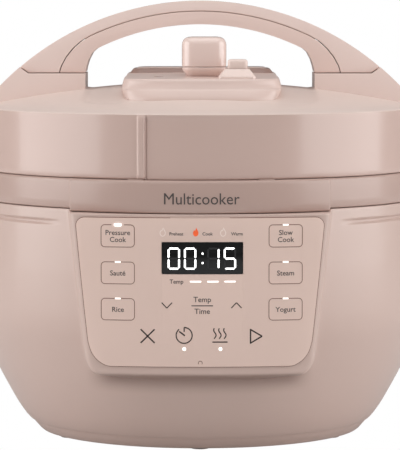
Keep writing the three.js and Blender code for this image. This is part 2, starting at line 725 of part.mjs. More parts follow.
function makeReleaseLever() {
  const ventEnd = leverLength * LEVER_SHARE;
  const buttonEnd = leverLength - ventEnd;
  const arm = alongLever(new THREE.BoxGeometry(buttonEnd + 6.5, 5, LEVER_THICKNESS)
    .translate(-(buttonEnd + 6.5) / 2 + 4, 0, 0));
  const bridge = alongLever(new THREE.BoxGeometry(3, 19, LEVER_THICKNESS).translate(4.5, 0, 0));
  const prongs = [-1, 1].map((side) => alongLever(
    new THREE.BoxGeometry(ventEnd - 3.3, 2.2, LEVER_THICKNESS)
      .translate((ventEnd + 4.5) / 2 + 0.6, side * 8.2, 0),
  ));
  const shield = bar(6.4, 250, 280, VENT.x, VENT.y);
  return cutAll(addAll(arm, [pivotBar(2.2, 5), bridge, ...prongs]), [pivotBar(1.1, 9), shield]);
}

place('release_lever', makeReleaseLever(), finish.blackPlastic);
place('lever_pin', pivotBar(0.8, 14.6), finish.steel);

// ---------------------------------------------------------------- steam valve
place('steam_pipe', turnedRing([
  [1.6, 221.4], [4, 221.4], [4, 224.6], [8, 224.6], [8, 227.1], [5, 227.1], [5, 282.5], [3.4, 284],
  [1.6, 284],
], 12).translate([VENT.x, VENT.y, 0]), finish.steel);
place('pipe_nut', bar(9, 232, 237, VENT.x, VENT.y, 6)
  .subtract(bar(5.4, 230, 240, VENT.x, VENT.y)), finish.zinc);

function makeAntiBlockShield() {
  const cup = turned([
    [0, 213.5], [12.5, 213.5], [14, 215], [14, 225.3], [12.7, 225.3], [12.7, 215.2], [0, 215.2],
  ], SMALL_SEGMENTS);
  const slots = [0, 45, 90, 135].map((angle) => solid(new THREE.BoxGeometry(40, 2.6, 7)
    .rotateZ(radians(angle)).translate(0, 0, 220.5)));
  return cutAll(cup, slots).translate([VENT.x, VENT.y, 0]);
}

place('anti_block_shield', makeAntiBlockShield(), finish.steel);
place('valve_weight', turned([
  [0, 284.4], [4, 284.4], [6, 282], [6, 267.8], [9, 267.8], [9, 291], [7, 293], [0, 293],
], SMALL_SEGMENTS).translate([VENT.x, VENT.y, 0]), finish.blackPlastic);

const capLoop = (half, corner, z) => roundedLoop(VENT.x, VENT.y, half, half, corner, z);

function makeSteamCapBase() {
  const ring = loft([capLoop(11.8, 4, 273), capLoop(16.2, 5, 277), capLoop(16.2, 5, 277.8)]);
  return ring.subtract(bar(10.5, 260, 290, VENT.x, VENT.y));
}

function makeSteamCap() {
  const cap = loft([
    capLoop(16.2, 5, 278.1), capLoop(16.2, 5, 295.6), capLoop(14.6, 4.5, 298.4), capLoop(11, 4, 299.6),
  ]);
  const slot = block(VENT.x - 5, VENT.x + 5, VENT.y, VENT.y + 30, 285, 291);
  return cutAll(cap, [bar(11, 260, 297, VENT.x, VENT.y), slot]);
}

place('steam_cap_base', makeSteamCapBase(), finish.palePlastic);
place('steam_cap', makeSteamCap(), finish.pinkPlastic);

// ---------------------------------------------------------------- release button
function makeButtonHousing() {
  const body = loft([
    roundedLoop(26.3, BUTTON.y, 13.8, 8.6, 2, 269, 2),
    roundedLoop(26.3, BUTTON.y, 13.8, 8.6, 2, 271, 2),
    roundedLoop(BUTTON.x, BUTTON.y, 9.1, 8.2, 2, 276.8, 2),
  ]);
  return cutAll(body, [
    block(BUTTON.x - 7.7, BUTTON.x + 7.7, BUTTON.y - 6.7, BUTTON.y + 6.7, 270.1, 280),
    bar(1.9, 260, 280, BUTTON.x, BUTTON.y, 8),
  ]);
}

function makeReleaseButton() {
  const loop = (halfX, halfY, z) => roundedLoop(BUTTON.x, BUTTON.y, halfX, halfY, 2.4, z, 2);
  const cap = loft([loop(7.3, 6.3, 275.8), loop(7.3, 6.3, 282.4), loop(5.8, 4.9, 283.7)]);
  const stem = bar(1.2, 267.7, 282, BUTTON.x, BUTTON.y, 8);
  return cap.subtract(bar(5, 270, 281.2, BUTTON.x, BUTTON.y, 12)).add(stem);
}

place('button_housing', makeButtonHousing(), finish.palePlastic);
place('release_button', makeReleaseButton(), finish.palePlastic);
place('button_spring', bent(new Coil(BUTTON.x, BUTTON.y, 3.3, 270.9, 280.4, 4), 0.4, 32, 5), finish.steel);

// ---------------------------------------------------------------- float valve
place('float_valve', turned([
  [0, 212], [2.4, 212], [2.4, 228.8], [4.6, 228.8], [4.6, 230.8], [2.6, 230.8], [2.6, 267.6],
  [1.8, 268.4], [0, 268.4],
], 12).translate([FLOAT.x, FLOAT.y, 0]), finish.zinc);
place('float_valve_cap', turnedRing([[2.7, 213], [5.4, 213], [6, 214.5], [6, 218.4], [2.7, 218.4]], 12)
  .translate([FLOAT.x, FLOAT.y, 0]), finish.silicone);

export default root;
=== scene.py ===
"""Looks of the electric pressure cooker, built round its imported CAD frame."""
import json
import math

import bmesh
import bpy
import numpy as np
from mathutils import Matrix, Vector


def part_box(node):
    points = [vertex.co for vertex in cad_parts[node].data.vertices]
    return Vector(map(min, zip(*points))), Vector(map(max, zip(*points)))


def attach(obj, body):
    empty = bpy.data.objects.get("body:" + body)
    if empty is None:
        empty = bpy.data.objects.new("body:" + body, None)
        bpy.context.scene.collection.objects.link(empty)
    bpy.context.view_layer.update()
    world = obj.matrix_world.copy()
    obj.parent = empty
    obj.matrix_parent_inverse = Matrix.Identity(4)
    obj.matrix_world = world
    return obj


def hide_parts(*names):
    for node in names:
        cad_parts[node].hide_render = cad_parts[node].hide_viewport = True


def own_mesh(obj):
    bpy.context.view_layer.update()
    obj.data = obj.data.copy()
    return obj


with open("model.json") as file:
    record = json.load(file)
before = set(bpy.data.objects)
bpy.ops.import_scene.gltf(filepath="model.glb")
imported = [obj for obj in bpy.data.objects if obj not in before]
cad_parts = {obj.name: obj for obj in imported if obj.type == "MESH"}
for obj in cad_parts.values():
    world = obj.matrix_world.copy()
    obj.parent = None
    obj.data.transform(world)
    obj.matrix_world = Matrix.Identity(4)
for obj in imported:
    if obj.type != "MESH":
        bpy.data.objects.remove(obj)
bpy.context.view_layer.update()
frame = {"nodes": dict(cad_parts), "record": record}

# ------------------------------------------------------------------ driving sizes, millimetres
MM = 0.001
FACE_RADIUS = 400.0                  # plan radius of the control panel's face
FACE_DEPTH = 172.3                   # face of the front bulge, forwards of the pot axis
FACE_CENTRE = FACE_DEPTH - FACE_RADIUS
FRONT_SEAM_Z = 177.2
SIDE_SEAM_Z = 178.9
RIM_TOP = 200.7
LID_RADIUS = 168.0
LID_SKIRT_BOTTOM = 201.0
LID_CREST = 265.5
LID_CREASE = 155.0                   # radius where the dome turns into the sloping border
LID_EDGE_Z = 246.9                   # height of the sharp edge between border and skirt
OVERLAY_FRONT = 1.5                  # overlay surface in front of the bulge's face
VENT = (3.0, -68.0)
BUTTON = (27.2, -95.0)
FLOAT = (-30.0, -78.0)
PLATFORM_CENTRE = (1.2, -44.0)
HANDLE_ARC = (208.0, 117.5)          # radius and centre height of each handle arc
SEAM_ARC = (191.0, 126.5)
GRIP_ARC = (172.0, 136.0)
HANDLE_HALF = 20.0
FOOT_TOP = 271.6
DISPLAY = (-26.9, 30.2, 135.3, 158.0)
COLLECTOR_WINDOW = (-30.2, 30.2, 103.7, 163.0)   # x0, x1, z0, z1 of the openings in the back
INLET_WINDOW = (-15.3, 15.3, 68.0, 92.0)
HARD_EDGE = 0.6                      # radians; edges that turn more than this can be bevelled
BACK_HALF = 140.0                    # only faces behind this y are cut for the openings in the back


# ------------------------------------------------------------------ materials
def new_material(name):
    made = bpy.data.materials.new(name)
    made.use_nodes = True
    tree = made.node_tree
    return made, tree, tree.nodes["Principled BSDF"]


def noise(tree, scale, detail=3.0, stretch=(1, 1, 1)):
    """Noise in object space, in units of 1/metre."""
    place = tree.nodes.new("ShaderNodeTexCoord")
    mapping = tree.nodes.new("ShaderNodeMapping")
    mapping.inputs["Scale"].default_value = stretch
    texture = tree.nodes.new("ShaderNodeTexNoise")
    texture.inputs["Scale"].default_value = scale
    texture.inputs["Detail"].default_value = detail
    tree.links.new(place.outputs["Object"], mapping.inputs["Vector"])
    tree.links.new(mapping.outputs["Vector"], texture.inputs["Vector"])
    return texture.outputs["Fac"]


def ramp(tree, value, low, high):
    """Maps a 0 to 1 value to a range of numbers."""
    node = tree.nodes.new("ShaderNodeMapRange")
    node.inputs["From Min"].default_value = 0.3
    node.inputs["From Max"].default_value = 0.7
    node.inputs["To Min"].default_value = low
    node.inputs["To Max"].default_value = high
    tree.links.new(value, node.inputs["Value"])
    return node.outputs["Result"]


def blend_colours(tree, value, first, second):
    node = tree.nodes.new("ShaderNodeValToRGB")
    node.color_ramp.elements[0].position = 0.3
    node.color_ramp.elements[1].position = 0.7
    node.color_ramp.elements[0].color = (*first, 1)
    node.color_ramp.elements[1].color = (*second, 1)
    tree.links.new(value, node.inputs["Fac"])
    return node.outputs["Color"]


def srgb(r, g, b):
    """Linear colour from 0 to 255 display values."""
    return tuple(((c / 255 + 0.055) / 1.055) ** 2.4 if c > 10 else c / 255 / 12.92 for c in (r, g, b))


def textured(name, colour, rough, metal=0.0, tone=0.03, grain=900.0, bump=0.06, spread=0.05,
             stretch=(1, 1, 1), coat=0.0):
    """Base for every moulded, sheet or cast surface: mottled colour, uneven gloss and a fine grain."""
    made, tree, shader = new_material(name)
    darker = tuple(c * (1 - tone) for c in colour)
    lighter = tuple(min(1.0, c * (1 + tone)) for c in colour)
    tree.links.new(blend_colours(tree, noise(tree, 14, 4, stretch), darker, lighter),
            shader.inputs["Base Color"])
    tree.links.new(ramp(tree, noise(tree, 60, 4, stretch), rough - spread, rough + spread),
            shader.inputs["Roughness"])
    bumps = tree.nodes.new("ShaderNodeBump")
    bumps.inputs["Strength"].default_value = bump
    bumps.inputs["Distance"].default_value = 0.0004
    tree.links.new(noise(tree, grain, 2, stretch), bumps.inputs["Height"])
    tree.links.new(bumps.outputs["Normal"], shader.inputs["Normal"])
    shader.inputs["Metallic"].default_value = metal
    shader.inputs["Coat Weight"].default_value = coat
    shader.inputs["Coat Roughness"].default_value = 0.12
    return made


def moulded(name, colour, rough, coat=0.0):
    """Painted or moulded plastic: nearly even, with a very fine grain."""
    return textured(name, colour, rough, tone=0.004, grain=1800.0, bump=0.02, spread=0.012, coat=coat)


def shell_with_painted_shade(name, colour, rough, coat):
    """Shell plastic with a painted shade: darker in a band at the front, where the control panel's bulge meets
    the body beneath it.
    """
    made = moulded(name, colour, rough, coat)
    tree = made.node_tree
    shader = next(n for n in tree.nodes if n.type == "BSDF_PRINCIPLED")
    place = tree.nodes.new("ShaderNodeTexCoord")
    split = tree.nodes.new("ShaderNodeSeparateXYZ")
    tree.links.new(place.outputs["Object"], split.inputs["Vector"])

    def mapped(value, low, high):
        node = tree.nodes.new("ShaderNodeMapRange")
        node.interpolation_type = "SMOOTHSTEP"
        node.inputs["From Min"].default_value = low
        node.inputs["From Max"].default_value = high
        tree.links.new(value, node.inputs["Value"])
        return node.outputs["Result"]

    def times(first, second):
        node = tree.nodes.new("ShaderNodeMath")
        node.operation = "MULTIPLY"
        tree.links.new(first, node.inputs[0])
        tree.links.new(second, node.inputs[1])
        return node.outputs["Value"]

    height = split.outputs["Z"]
    across = tree.nodes.new("ShaderNodeMath")
    across.operation = "ABSOLUTE"
    tree.links.new(split.outputs["X"], across.inputs[0])
    # Painted shade mask: a height band just under the bulge's lower lip, narrower than the bulge, at the front
    # only.
    shade_band = times(mapped(height, 0.046, 0.0615), mapped(height, 0.0655, 0.0625))
    reach = times(mapped(across.outputs["Value"], 0.083, 0.062), mapped(split.outputs["Y"], -0.1, -0.13))
    painted_shade_amount = times(shade_band, reach)
    mix = tree.nodes.new("ShaderNodeMix")
    mix.data_type = "RGBA"
    tree.links.new(shader.inputs["Base Color"].links[0].from_socket, mix.inputs[6])
    # Colour of the painted shade: half the shell colour, a little redder.
    mix.inputs[7].default_value = (*(c * 0.5 * k for c, k in zip(colour, (1.0, 0.9, 0.86))), 1)
    tree.links.new(painted_shade_amount, mix.inputs[0])
    tree.links.new(mix.outputs[2], shader.inputs["Base Color"])
    return made


def glowing(name, colour, strength):
    """Lit display segment or lamp, its glow varying a little from place to place."""
    made, tree, shader = new_material(name)
    shader.inputs["Base Color"].default_value = (*colour, 1)
    shader.inputs["Roughness"].default_value = 0.4
    shader.inputs["Emission Color"].default_value = (*colour, 1)
    tree.links.new(ramp(tree, noise(tree, 300, 1), strength * 0.92, strength * 1.08),
                   shader.inputs["Emission Strength"])
    return made


BRUSHED = (0.6, 0.6, 26)
MATERIALS = {
    # The shell plastic carries a painted shade under the control panel's bulge.
    "shell_plastic": shell_with_painted_shade("shell_plastic", srgb(203, 178, 168), 0.32, 0.15),
    "lid_plastic": moulded("lid_plastic", srgb(238, 217, 209), 0.26, 0.3),
    "dome_plastic": moulded("dome_plastic", srgb(221, 201, 192), 0.34),
    "rim_plastic": moulded("rim_plastic", srgb(186, 159, 149), 0.3, 0.15),
    "pale_plastic": moulded("pale_plastic", srgb(233, 211, 202), 0.28, 0.25),
    "platform_plastic": moulded("platform_plastic", srgb(219, 195, 186), 0.3, 0.2),
    "knob_plastic": moulded("knob_plastic", srgb(232, 208, 199), 0.13, 0.8),
    "grip_plastic": moulded("grip_plastic", srgb(233, 209, 200), 0.3, 0.2),
    # Dark plastic used as painted shade on the raised block behind the vent platform, where its front band
    # falls in shadow.
    "painted_shade_plastic": moulded("painted_shade_plastic", srgb(150, 124, 115), 0.4),
    "skirt_plastic": moulded("skirt_plastic", srgb(203, 176, 166), 0.24, 0.3),
    "panel_film": moulded("panel_film", srgb(227, 200, 188), 0.42),
    "display_glass": textured("display_glass", (0.0025, 0.0025, 0.003), 0.08, spread=0.02, bump=0.0),
    "black_plastic": textured("black_plastic", (0.018, 0.018, 0.02), 0.5, tone=0.1, bump=0.15),
    "smoked_plastic": textured("smoked_plastic", (0.42, 0.37, 0.35), 0.2, tone=0.02, bump=0.02),
    "silicone": textured("silicone", (0.78, 0.8, 0.77), 0.55, tone=0.02, bump=0.05),
    "foot_rubber": textured("foot_rubber", srgb(196, 176, 167), 0.75, tone=0.03, bump=0.15),
    "stainless": textured("stainless", (0.66, 0.66, 0.665), 0.24, 1.0, tone=0.05, grain=160, bump=0.05,
                          stretch=BRUSHED),
    "aluminium": textured("aluminium", (0.6, 0.61, 0.62), 0.38, 1.0, tone=0.05, grain=500, bump=0.08),
    "zinc": textured("zinc", (0.52, 0.54, 0.56), 0.32, 1.0, tone=0.06, grain=700, bump=0.08),
    "brass": textured("brass", (0.65, 0.46, 0.18), 0.28, 1.0, tone=0.06, grain=600, bump=0.05),
    "board": textured("board", (0.022, 0.13, 0.06), 0.38, tone=0.25, grain=700, bump=0.25),
    "wire": textured("wire", (0.03, 0.03, 0.032), 0.55, tone=0.1, bump=0.1),
    "print_dark": textured("print_dark", srgb(44, 29, 25), 0.5, tone=0.03, bump=0.0),
    "print_grey": textured("print_grey", srgb(78, 70, 68), 0.5, tone=0.03, bump=0.0),
    "print_line": textured("print_line", srgb(138, 104, 93), 0.5, tone=0.03, bump=0.0),
    "print_white": glowing("print_white", (1.0, 0.97, 0.94), 0.85),
    "lit_white": glowing("lit_white", (1.0, 1.0, 1.0), 1.6),
    "lit_orange": glowing("lit_orange", (0.5, 0.075, 0.02), 0.9),
    "unlit_flame": glowing("unlit_flame", srgb(236, 220, 212), 0.12),
    "unlit_segment": textured("unlit_segment", (0.02, 0.02, 0.022), 0.3, tone=0.05, bump=0.0),
}


def lamp_glow(name, centre, reach, edge_colour):
    """Panel film lit round a lamp: white at the centre, plain film at the reach."""
    made, tree, shader = new_material(name)
    place = tree.nodes.new("ShaderNodeTexCoord")
    mapping = tree.nodes.new("ShaderNodeMapping")
    mapping.inputs["Location"].default_value = tuple(-c / r for c, r in zip(centre, reach))
    mapping.inputs["Scale"].default_value = tuple(1 / r for r in reach)
    gradient = tree.nodes.new("ShaderNodeTexGradient")
    gradient.gradient_type = "QUADRATIC_SPHERE"
    tree.links.new(place.outputs["Object"], mapping.inputs["Vector"])
    tree.links.new(mapping.outputs["Vector"], gradient.inputs["Vector"])
    tree.links.new(gradient.outputs["Fac"], shader.inputs["Emission Strength"])
    shader.inputs["Base Color"].default_value = (*edge_colour, 1)
    shader.inputs["Roughness"].default_value = 0.42
    shader.inputs["Emission Color"].default_value = (0.42, 0.41, 0.4, 1)
    return made


MATERIALS["lamp_glow"] = lamp_glow("lamp_glow", (-0.0576, -0.1697, 0.1698), (0.0056, 0.02, 0.0036), srgb(227,
            200, 188))
for node_name, node_object in frame["nodes"].items():
    slot_name = next(s["material_slot"] for s in frame["record"]["subparts"] if s["node"] == node_name)
    node_object.data.materials.clear()
    node_object.data.materials.append(MATERIALS[slot_name])


# ------------------------------------------------------------------ mesh helpers
def with_edges(faces):
    """Faces with their edges and corners, always in the same order."""
    edges = dict.fromkeys(e for f in faces for e in f.edges)
    corners = dict.fromkeys(v for f in faces for v in f.verts)
    return [*faces, *edges, *corners]


def cut_square(edit, axis, value, parts=None):
    """Cuts a mesh, or some parts of it, by the plane where a coordinate is value millimetres."""
    place = Vector((0, 0, 0))
    normal = Vector((0, 0, 0))
    place[axis] = value * MM
    normal[axis] = 1
    geom = parts or edit.verts[:] + edit.edges[:] + edit.faces[:]
    bmesh.ops.bisect_plane(edit, geom=geom, plane_co=place, plane_no=normal)


def add_piece(name, verts, faces, look, body, nodes=(), slot=None, sharp=34.0, weld=1e-6):
    """Mesh piece from points in millimetres, riding on a CAD body."""
    mesh = bpy.data.meshes.new(name)
    mesh.from_pydata([tuple(c * MM for c in v) for v in verts], [], [tuple(f) for f in faces])
    edit = bmesh.new()
    edit.from_mesh(mesh)
    bmesh.ops.remove_doubles(edit, verts=edit.verts, dist=weld)
    bmesh.ops.dissolve_degenerate(edit, dist=weld, edges=edit.edges)
    bmesh.ops.recalc_face_normals(edit, faces=edit.faces)
    return finish_piece(name, mesh, edit, look, body, nodes, sharp)


def finish_piece(name, mesh, edit, look, body, nodes, sharp):
    limit = math.radians(sharp)
    for face in edit.faces:
        face.smooth = True
    for edge in edit.edges:
        edge.smooth = not (len(edge.link_faces) == 2 and edge.calc_face_angle(0) > limit)
    edit.to_mesh(mesh)
    edit.free()
    piece = bpy.data.objects.new(name, mesh)
    bpy.context.scene.collection.objects.link(piece)
    mesh.materials.append(MATERIALS[look])
    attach(piece, body)
    if nodes:
        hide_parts(*nodes)
    return piece


def skin(name, rows, look, body, nodes=(), close_rows=False, cap=False, **more):
    """Surface through loops of equal length. close_rows joins the last loop to the first."""
    count = len(rows[0])
    verts = [p for row in rows for p in row]
    faces = []
    last = len(rows) if close_rows else len(rows) - 1
    for r in range(last):
        a, b = r * count, (r + 1) % len(rows) * count
        for i in range(count):
            j = (i + 1) % count
            faces.append((a + i, a + j, b + j, b + i))
    if cap:
        faces.append(tuple(reversed(range(count))))
        faces.append(tuple(range((len(rows) - 1) * count, len(rows) * count)))
    return add_piece(name, verts, faces, look, body, nodes, **more)


def rounded(points, steps=4, closed=False):
    """Path whose corners turn through arcs. A point is (a, b) or (a, b, radius)."""
    path = []
    count = len(points)
    for i, point in enumerate(points):
        here = Vector(point[:2])
        radius = point[2] if len(point) > 2 else 0.0
        if radius <= 0 or (not closed and i in (0, count - 1)):
            path.append(tuple(here))
            continue
        before = Vector(points[i - 1][:2]) - here
        after = Vector(points[(i + 1) % count][:2]) - here
        reach = min(radius, before.length * 0.49, after.length * 0.49)
        start = here + before.normalized() * reach
        end = here + after.normalized() * reach
        for step in range(steps + 1):
            t = step / steps
            path.append(tuple(start * (1 - t) ** 2 + here * 2 * t * (1 - t) + end * t ** 2))
    return path


def lathe(name, points, look, body, nodes=(), centre=(0, 0), segments=144, closed=False, **more):
    """Turned piece from (radius, height[, corner radius]) points."""
    profile = rounded(points, closed=closed)
    rows = []
    for radius, z in profile:
        rows.append([(centre[0] + radius * math.cos(a), centre[1] + radius * math.sin(a), z)
                     for a in np.linspace(0, 2 * math.pi, segments, endpoint=False)])
    return skin(name, rows, look, body, nodes, close_rows=closed, **more)


def rounded_loop(cx, cy, half_x, half_y, corner, steps=8):
    """Plan outline of a rounded rectangle, counter-clockwise."""
    loop = []
    for quarter in range(4):
        sx = 1 if quarter in (0, 3) else -1
        sy = 1 if quarter < 2 else -1
        for step in range(steps + 1):
            angle = (quarter + step / steps) * math.pi / 2
            loop.append((cx + sx * (half_x - corner) + corner * math.cos(angle),
                         cy + sy * (half_y - corner) + corner * math.sin(angle)))
    return loop


def tiered(name, cx, cy, half_x, half_y, corner, profile, look, body, nodes=(), lift=None, cap=True, **more):
    """Block with rounded plan whose edge follows (inset, z[, corner radius]) points from the bottom up."""
    rows = []
    for inset, z in rounded(profile):
        loop = rounded_loop(cx, cy, half_x - inset, half_y - inset, max(corner - inset, 0.6))
        rows.append([(x, y, z + (lift(x, y, z) if lift else 0.0)) for x, y in loop])
    return skin(name, rows, look, body, nodes, cap=cap, **more)


def prism(name, outline, low, high, look, body, nodes=(), bevels=(), **more):
    """Front outline (x, z) carried from y = low to high, with its end edges bevelled.

    bevels lists (width, test) pairs; test picks end edges by the middle of the edge."""
    mesh = bpy.data.meshes.new(name)
    edit = bmesh.new()
    near = [edit.verts.new((x * MM, low * MM, z * MM)) for x, z in outline]
    far = [edit.verts.new((x * MM, high * MM, z * MM)) for x, z in outline]
    edit.faces.new(near)
    edit.faces.new(list(reversed(far)))
    count = len(outline)
    for i in range(count):
        j = (i + 1) % count
        edit.faces.new((near[j], near[i], far[i], far[j]))
    bmesh.ops.recalc_face_normals(edit, faces=edit.faces)
    for width, test in bevels:
        chosen = [e for e in edit.edges if e.calc_face_angle(0) > HARD_EDGE
                  and test((e.verts[0].co + e.verts[1].co) / 2 / MM)]
        bmesh.ops.bevel(edit, geom=chosen, offset=width * MM, segments=4, profile=0.55, affect="EDGES",
                        clamp_overlap=True)
    return finish_piece(name, mesh, edit, look, body, nodes, more.get("sharp", 34.0))


def sectors(name, r0, r1, z0, z1, middles, width, look, body, nodes=(), edge=0.4, **more):
    """Ring segments of one height and width, at several angles in degrees, with bevelled edges."""
    mesh = bpy.data.meshes.new(name)
    edit = bmesh.new()
    for middle in middles:
        turn = np.radians(np.linspace(middle - width / 2, middle + width / 2, 9))
        plan = [(r1 * math.cos(a), r1 * math.sin(a)) for a in turn]
        plan += [(r0 * math.cos(a), r0 * math.sin(a)) for a in turn[::-1]]
        low = [edit.verts.new((x * MM, y * MM, z0 * MM)) for x, y in plan]
        high = [edit.verts.new((x * MM, y * MM, z1 * MM)) for x, y in plan]
        count = len(plan)
        edit.faces.new(list(reversed(low)))
        edit.faces.new(high)
        for i in range(count):
            j = (i + 1) % count
            edit.faces.new((low[i], low[j], high[j], high[i]))
    bmesh.ops.recalc_face_normals(edit, faces=edit.faces)
    hard = [e for e in edit.edges if e.calc_face_angle(0) > HARD_EDGE]
    bmesh.ops.bevel(edit, geom=hard, offset=edge * MM, segments=2, profile=0.6, affect="EDGES",
            clamp_overlap=True)
    return finish_piece(name, mesh, edit, look, body, nodes, 40)


def smooth_max(a, b, k):
    return 0.5 * (a + b + np.sqrt((a - b) ** 2 + k * k))


def smooth_min(a, b, k):
    return -smooth_max(-a, -b, k)


def smoothstep(x, low, high):
    t = np.clip((x - low) / (high - low), 0, 1)
    return t * t * (3 - 2 * t)


def ring_angles():
    """Angles from the front, in radians, closer together at the sides of the bulge."""
    coarse = np.arange(-180, 180, 2.0)
    coarse = coarse[(abs(coarse) < 12) | (abs(coarse) > 37)]
    fine = np.arange(12, 37, 0.35)
    return np.radians(np.sort(np.concatenate([coarse, fine, -fine])))


ANGLES = ring_angles()
DEGREES = np.degrees(abs(ANGLES))


def ring_row(radius, z):
    """Loop at a radius and height that may each vary with the angle."""
    radius = np.broadcast_to(radius, ANGLES.shape)
    z = np.broadcast_to(z, ANGLES.shape)
    return list(zip(radius * np.sin(ANGLES), -radius * np.cos(ANGLES), z))


# ------------------------------------------------------------------ body shell
SHELL_PROFILE = [(13.4, 130.0), (17.4, 133.6), (22, 136.7), (26.5, 139.4), (31, 142), (35.5, 144.4), (40.1,
            146.9), (44.6, 149.4), (51, 152.6), (63, 158.1), (77, 164), (89, 168.5), (100, 170.4), (115, 170.9),
        (135, 171), (160, 170.3), (179, 169.3), ]


def shell_radius(z):
    heights, radii = zip(*SHELL_PROFILE)
    spread = np.linspace(-1, 1, 9) * 4.5
    if z <= 16:
        return np.interp(z, heights, radii)
    return np.mean([np.interp(z + s, heights, radii) for s in spread], axis=0)


def bulge_radius(z):
    """Distance from the axis to the front bulge along each angle."""
    recede = np.interp(z, [30, 50, 54, 57, 59, 60.5, 61.8, 62.8, 63.6, 64.6, 66, 68], [160, 60, 33, 22, 16,
                11.5, 7, 3.6, 1.8, 0.8, 0.2, 0])
    centre = FACE_CENTRE - recede
    bow = FACE_RADIUS ** 2 - (centre * np.sin(ANGLES)) ** 2
    face = centre * np.cos(ANGLES) + np.sqrt(np.maximum(bow, 1.0))
    half = 81.5 + (z - 78) * 0.112
    drop = np.clip(1 - (z - 62.0) / 14, 0, 1)
    half -= 11 * (1 - math.sqrt(max(0.0, 1 - drop ** 2))) + 7.0 * max(0.0, 62.3 - z)
    half = max(half, 4.0)
    side = half / np.maximum(abs(np.sin(ANGLES)), 1e-3)
    both = smooth_min(face, side, 5.0)
    return np.where(DEGREES < 80, both, 0.0)


def shell_row(z):
    base = shell_radius(z)
    groove = 2.3 * math.exp(-((z - 168.9) / 1.7) ** 4)
    base = base - groove * smoothstep(DEGREES, 35, 43)
    radius = smooth_max(base, bulge_radius(z), 2.6)
    return ring_row(radius, z)


def make_body_shell():
    heights = np.concatenate([
        np.arange(14, 54, 2.0), np.arange(54, 74, 0.5), np.arange(74, 164, 2.0), np.arange(164, 174, 0.5),
        np.arange(174, 176.4, 0.8)])
    foot_band = [(84.0, 7.0), (84.0, 3.9), (118.8, 3.9), (120.7, 4.2), (121.8, 5.1), (125.1, 8.8), (127.7,
                11.9), (128.0, 12.5), (129.4, 12.8), (130.0, 13.4)]
    rows = [ring_row(radius, z) for radius, z in foot_band]
    rows += [shell_row(z) for z in heights]
    front = 1 - smoothstep(DEGREES, 32.0, 33.2)
    top = SIDE_SEAM_Z + (FRONT_SEAM_Z - SIDE_SEAM_Z) * front
    crest = np.array([math.hypot(x, y) for x, y, _ in shell_row(176.4)])
    rows.append(ring_row(crest, top - 0.7))
    rows.append(ring_row(crest - 0.35, top - 0.15))
    rows.append(ring_row(crest - 0.9, top))
    rows.append(ring_row(np.minimum(crest - 4.2, 166.4), top))
    rows.append(ring_row(np.minimum(crest - 4.4, 166.0), top - 14))
    shell = skin("body_shell_skin", rows, "shell_plastic", "cooker", ["body_shell"], sharp=50)
    for window in (COLLECTOR_WINDOW, INLET_WINDOW):
        cut_window(shell.data, *window)


def cut_window(mesh, x0, x1, z0, z1):
    """Opens a rectangular window in the back of the shell."""
    edit = bmesh.new()
    edit.from_mesh(mesh)

    def nearby():
        return with_edges([f for f in edit.faces if f.calc_center_median().y > BACK_HALF * MM
                           and abs(f.calc_center_median().x) < (x1 + 8) * MM
                           and z0 - 8 < f.calc_center_median().z / MM < z1 + 8])

    for axis, value in ((0, x0), (0, x1), (2, z0), (2, z1)):
        cut_square(edit, axis, value, nearby())
    inside = [f for f in edit.faces if f.calc_center_median().y > BACK_HALF * MM
              and x0 < f.calc_center_median().x / MM < x1 and z0 < f.calc_center_median().z / MM < z1]
    bmesh.ops.delete(edit, geom=inside, context="FACES")
    edit.to_mesh(mesh)
    edit.free()


def make_collector_pocket():
    """Walls of the recess that holds the condensation collector."""
    x0, x1, z0, z1 = COLLECTOR_WINDOW
    outline = []
    for (xa, za), (xb, zb) in (((x0, z0), (x1, z0)), ((x1, z0), (x1, z1)), ((x1, z1), (x0, z1)), ((x0, z1), (x0,
                z0))):
        outline += [(xa + (xb - xa) * t, za + (zb - za) * t) for t in np.linspace(0, 1, 13)[:-1]]
    rows = [[(x, math.sqrt((float(shell_radius(z)) - 0.1) ** 2 - x ** 2), z) for x, z in outline]]
    rows += [[(x * k, 155.2, z0 + (z - z0) * k + (1 - k) * 28) for x, z in outline] for k in (1, 0.98)]
    rows += [[(x * 0.1, 155.2, 133.4 + (z - 133.4) * 0.1) for x, z in outline]]
    skin("collector_pocket", rows, "shell_plastic", "cooker", sharp=40)


make_body_shell()
make_collector_pocket()


# ------------------------------------------------------------------ rim collar
def make_rim():
    front = 1 - smoothstep(DEGREES, 32.3, 33.1)
    low = SIDE_SEAM_Z + 0.45 + (FRONT_SEAM_Z - SIDE_SEAM_Z) * front
    bulge = 2.9 * front
    profile = [
        (165.5, 0.0), (168.1, 0.0), (168.8, 0.02), (169.1, 0.05), (169.15, 0.3), (169.15, 0.6), (169.0, 0.86),
        (168.75, 0.93), (168.2, 0.975), (167.4, 0.995), (166.0, 1.0), (158, 1.0), (149.5, 1.0), (148.2, 0.985),
        (147.4, 0.95), (146.6, 0.9),
    ]
    rows = []
    for radius, share in profile:
        swell = bulge * np.clip((radius - 156) / 9, 0, 1)
        rows.append(ring_row(radius + swell, low + (RIM_TOP - low) * share))
    for radius, z in [(146.5, 176), (144.5, 174.6), (121.5, 174.5), (120.5, 173.8), (120.5, 171.5), (149.5,
                171.5)]:
        rows.append(ring_row(radius, z))
    skin("rim_collar_skin", rows, "rim_plastic", "cooker", ["rim_collar"], slot="shell_plastic", sharp=50)
    sectors("lid_position_marks", 168.6, 170.6, RIM_TOP - 1, RIM_TOP + 0.5, (-105.4, -74.0), 3.8, "rim_plastic",
            "cooker", slot="shell_plastic", edge=0.25)


make_rim()


# ------------------------------------------------------------------ lid shell
def dome_height(radius):
    return LID_CREST - 6.7e-4 * radius ** 2


def hollow_depth(x, y):
    """Shallow rounded rectangle sunk into the lid's top."""
    corner = 26.0
    dx = np.maximum(abs(x) - (84.0 - corner), 0)
    dy = np.maximum(abs(y) - (121.0 - corner), 0)
    edge = np.hypot(dx, dy) - corner
    return 1.1 * (1 - smoothstep(edge, -3.0, 3.0))


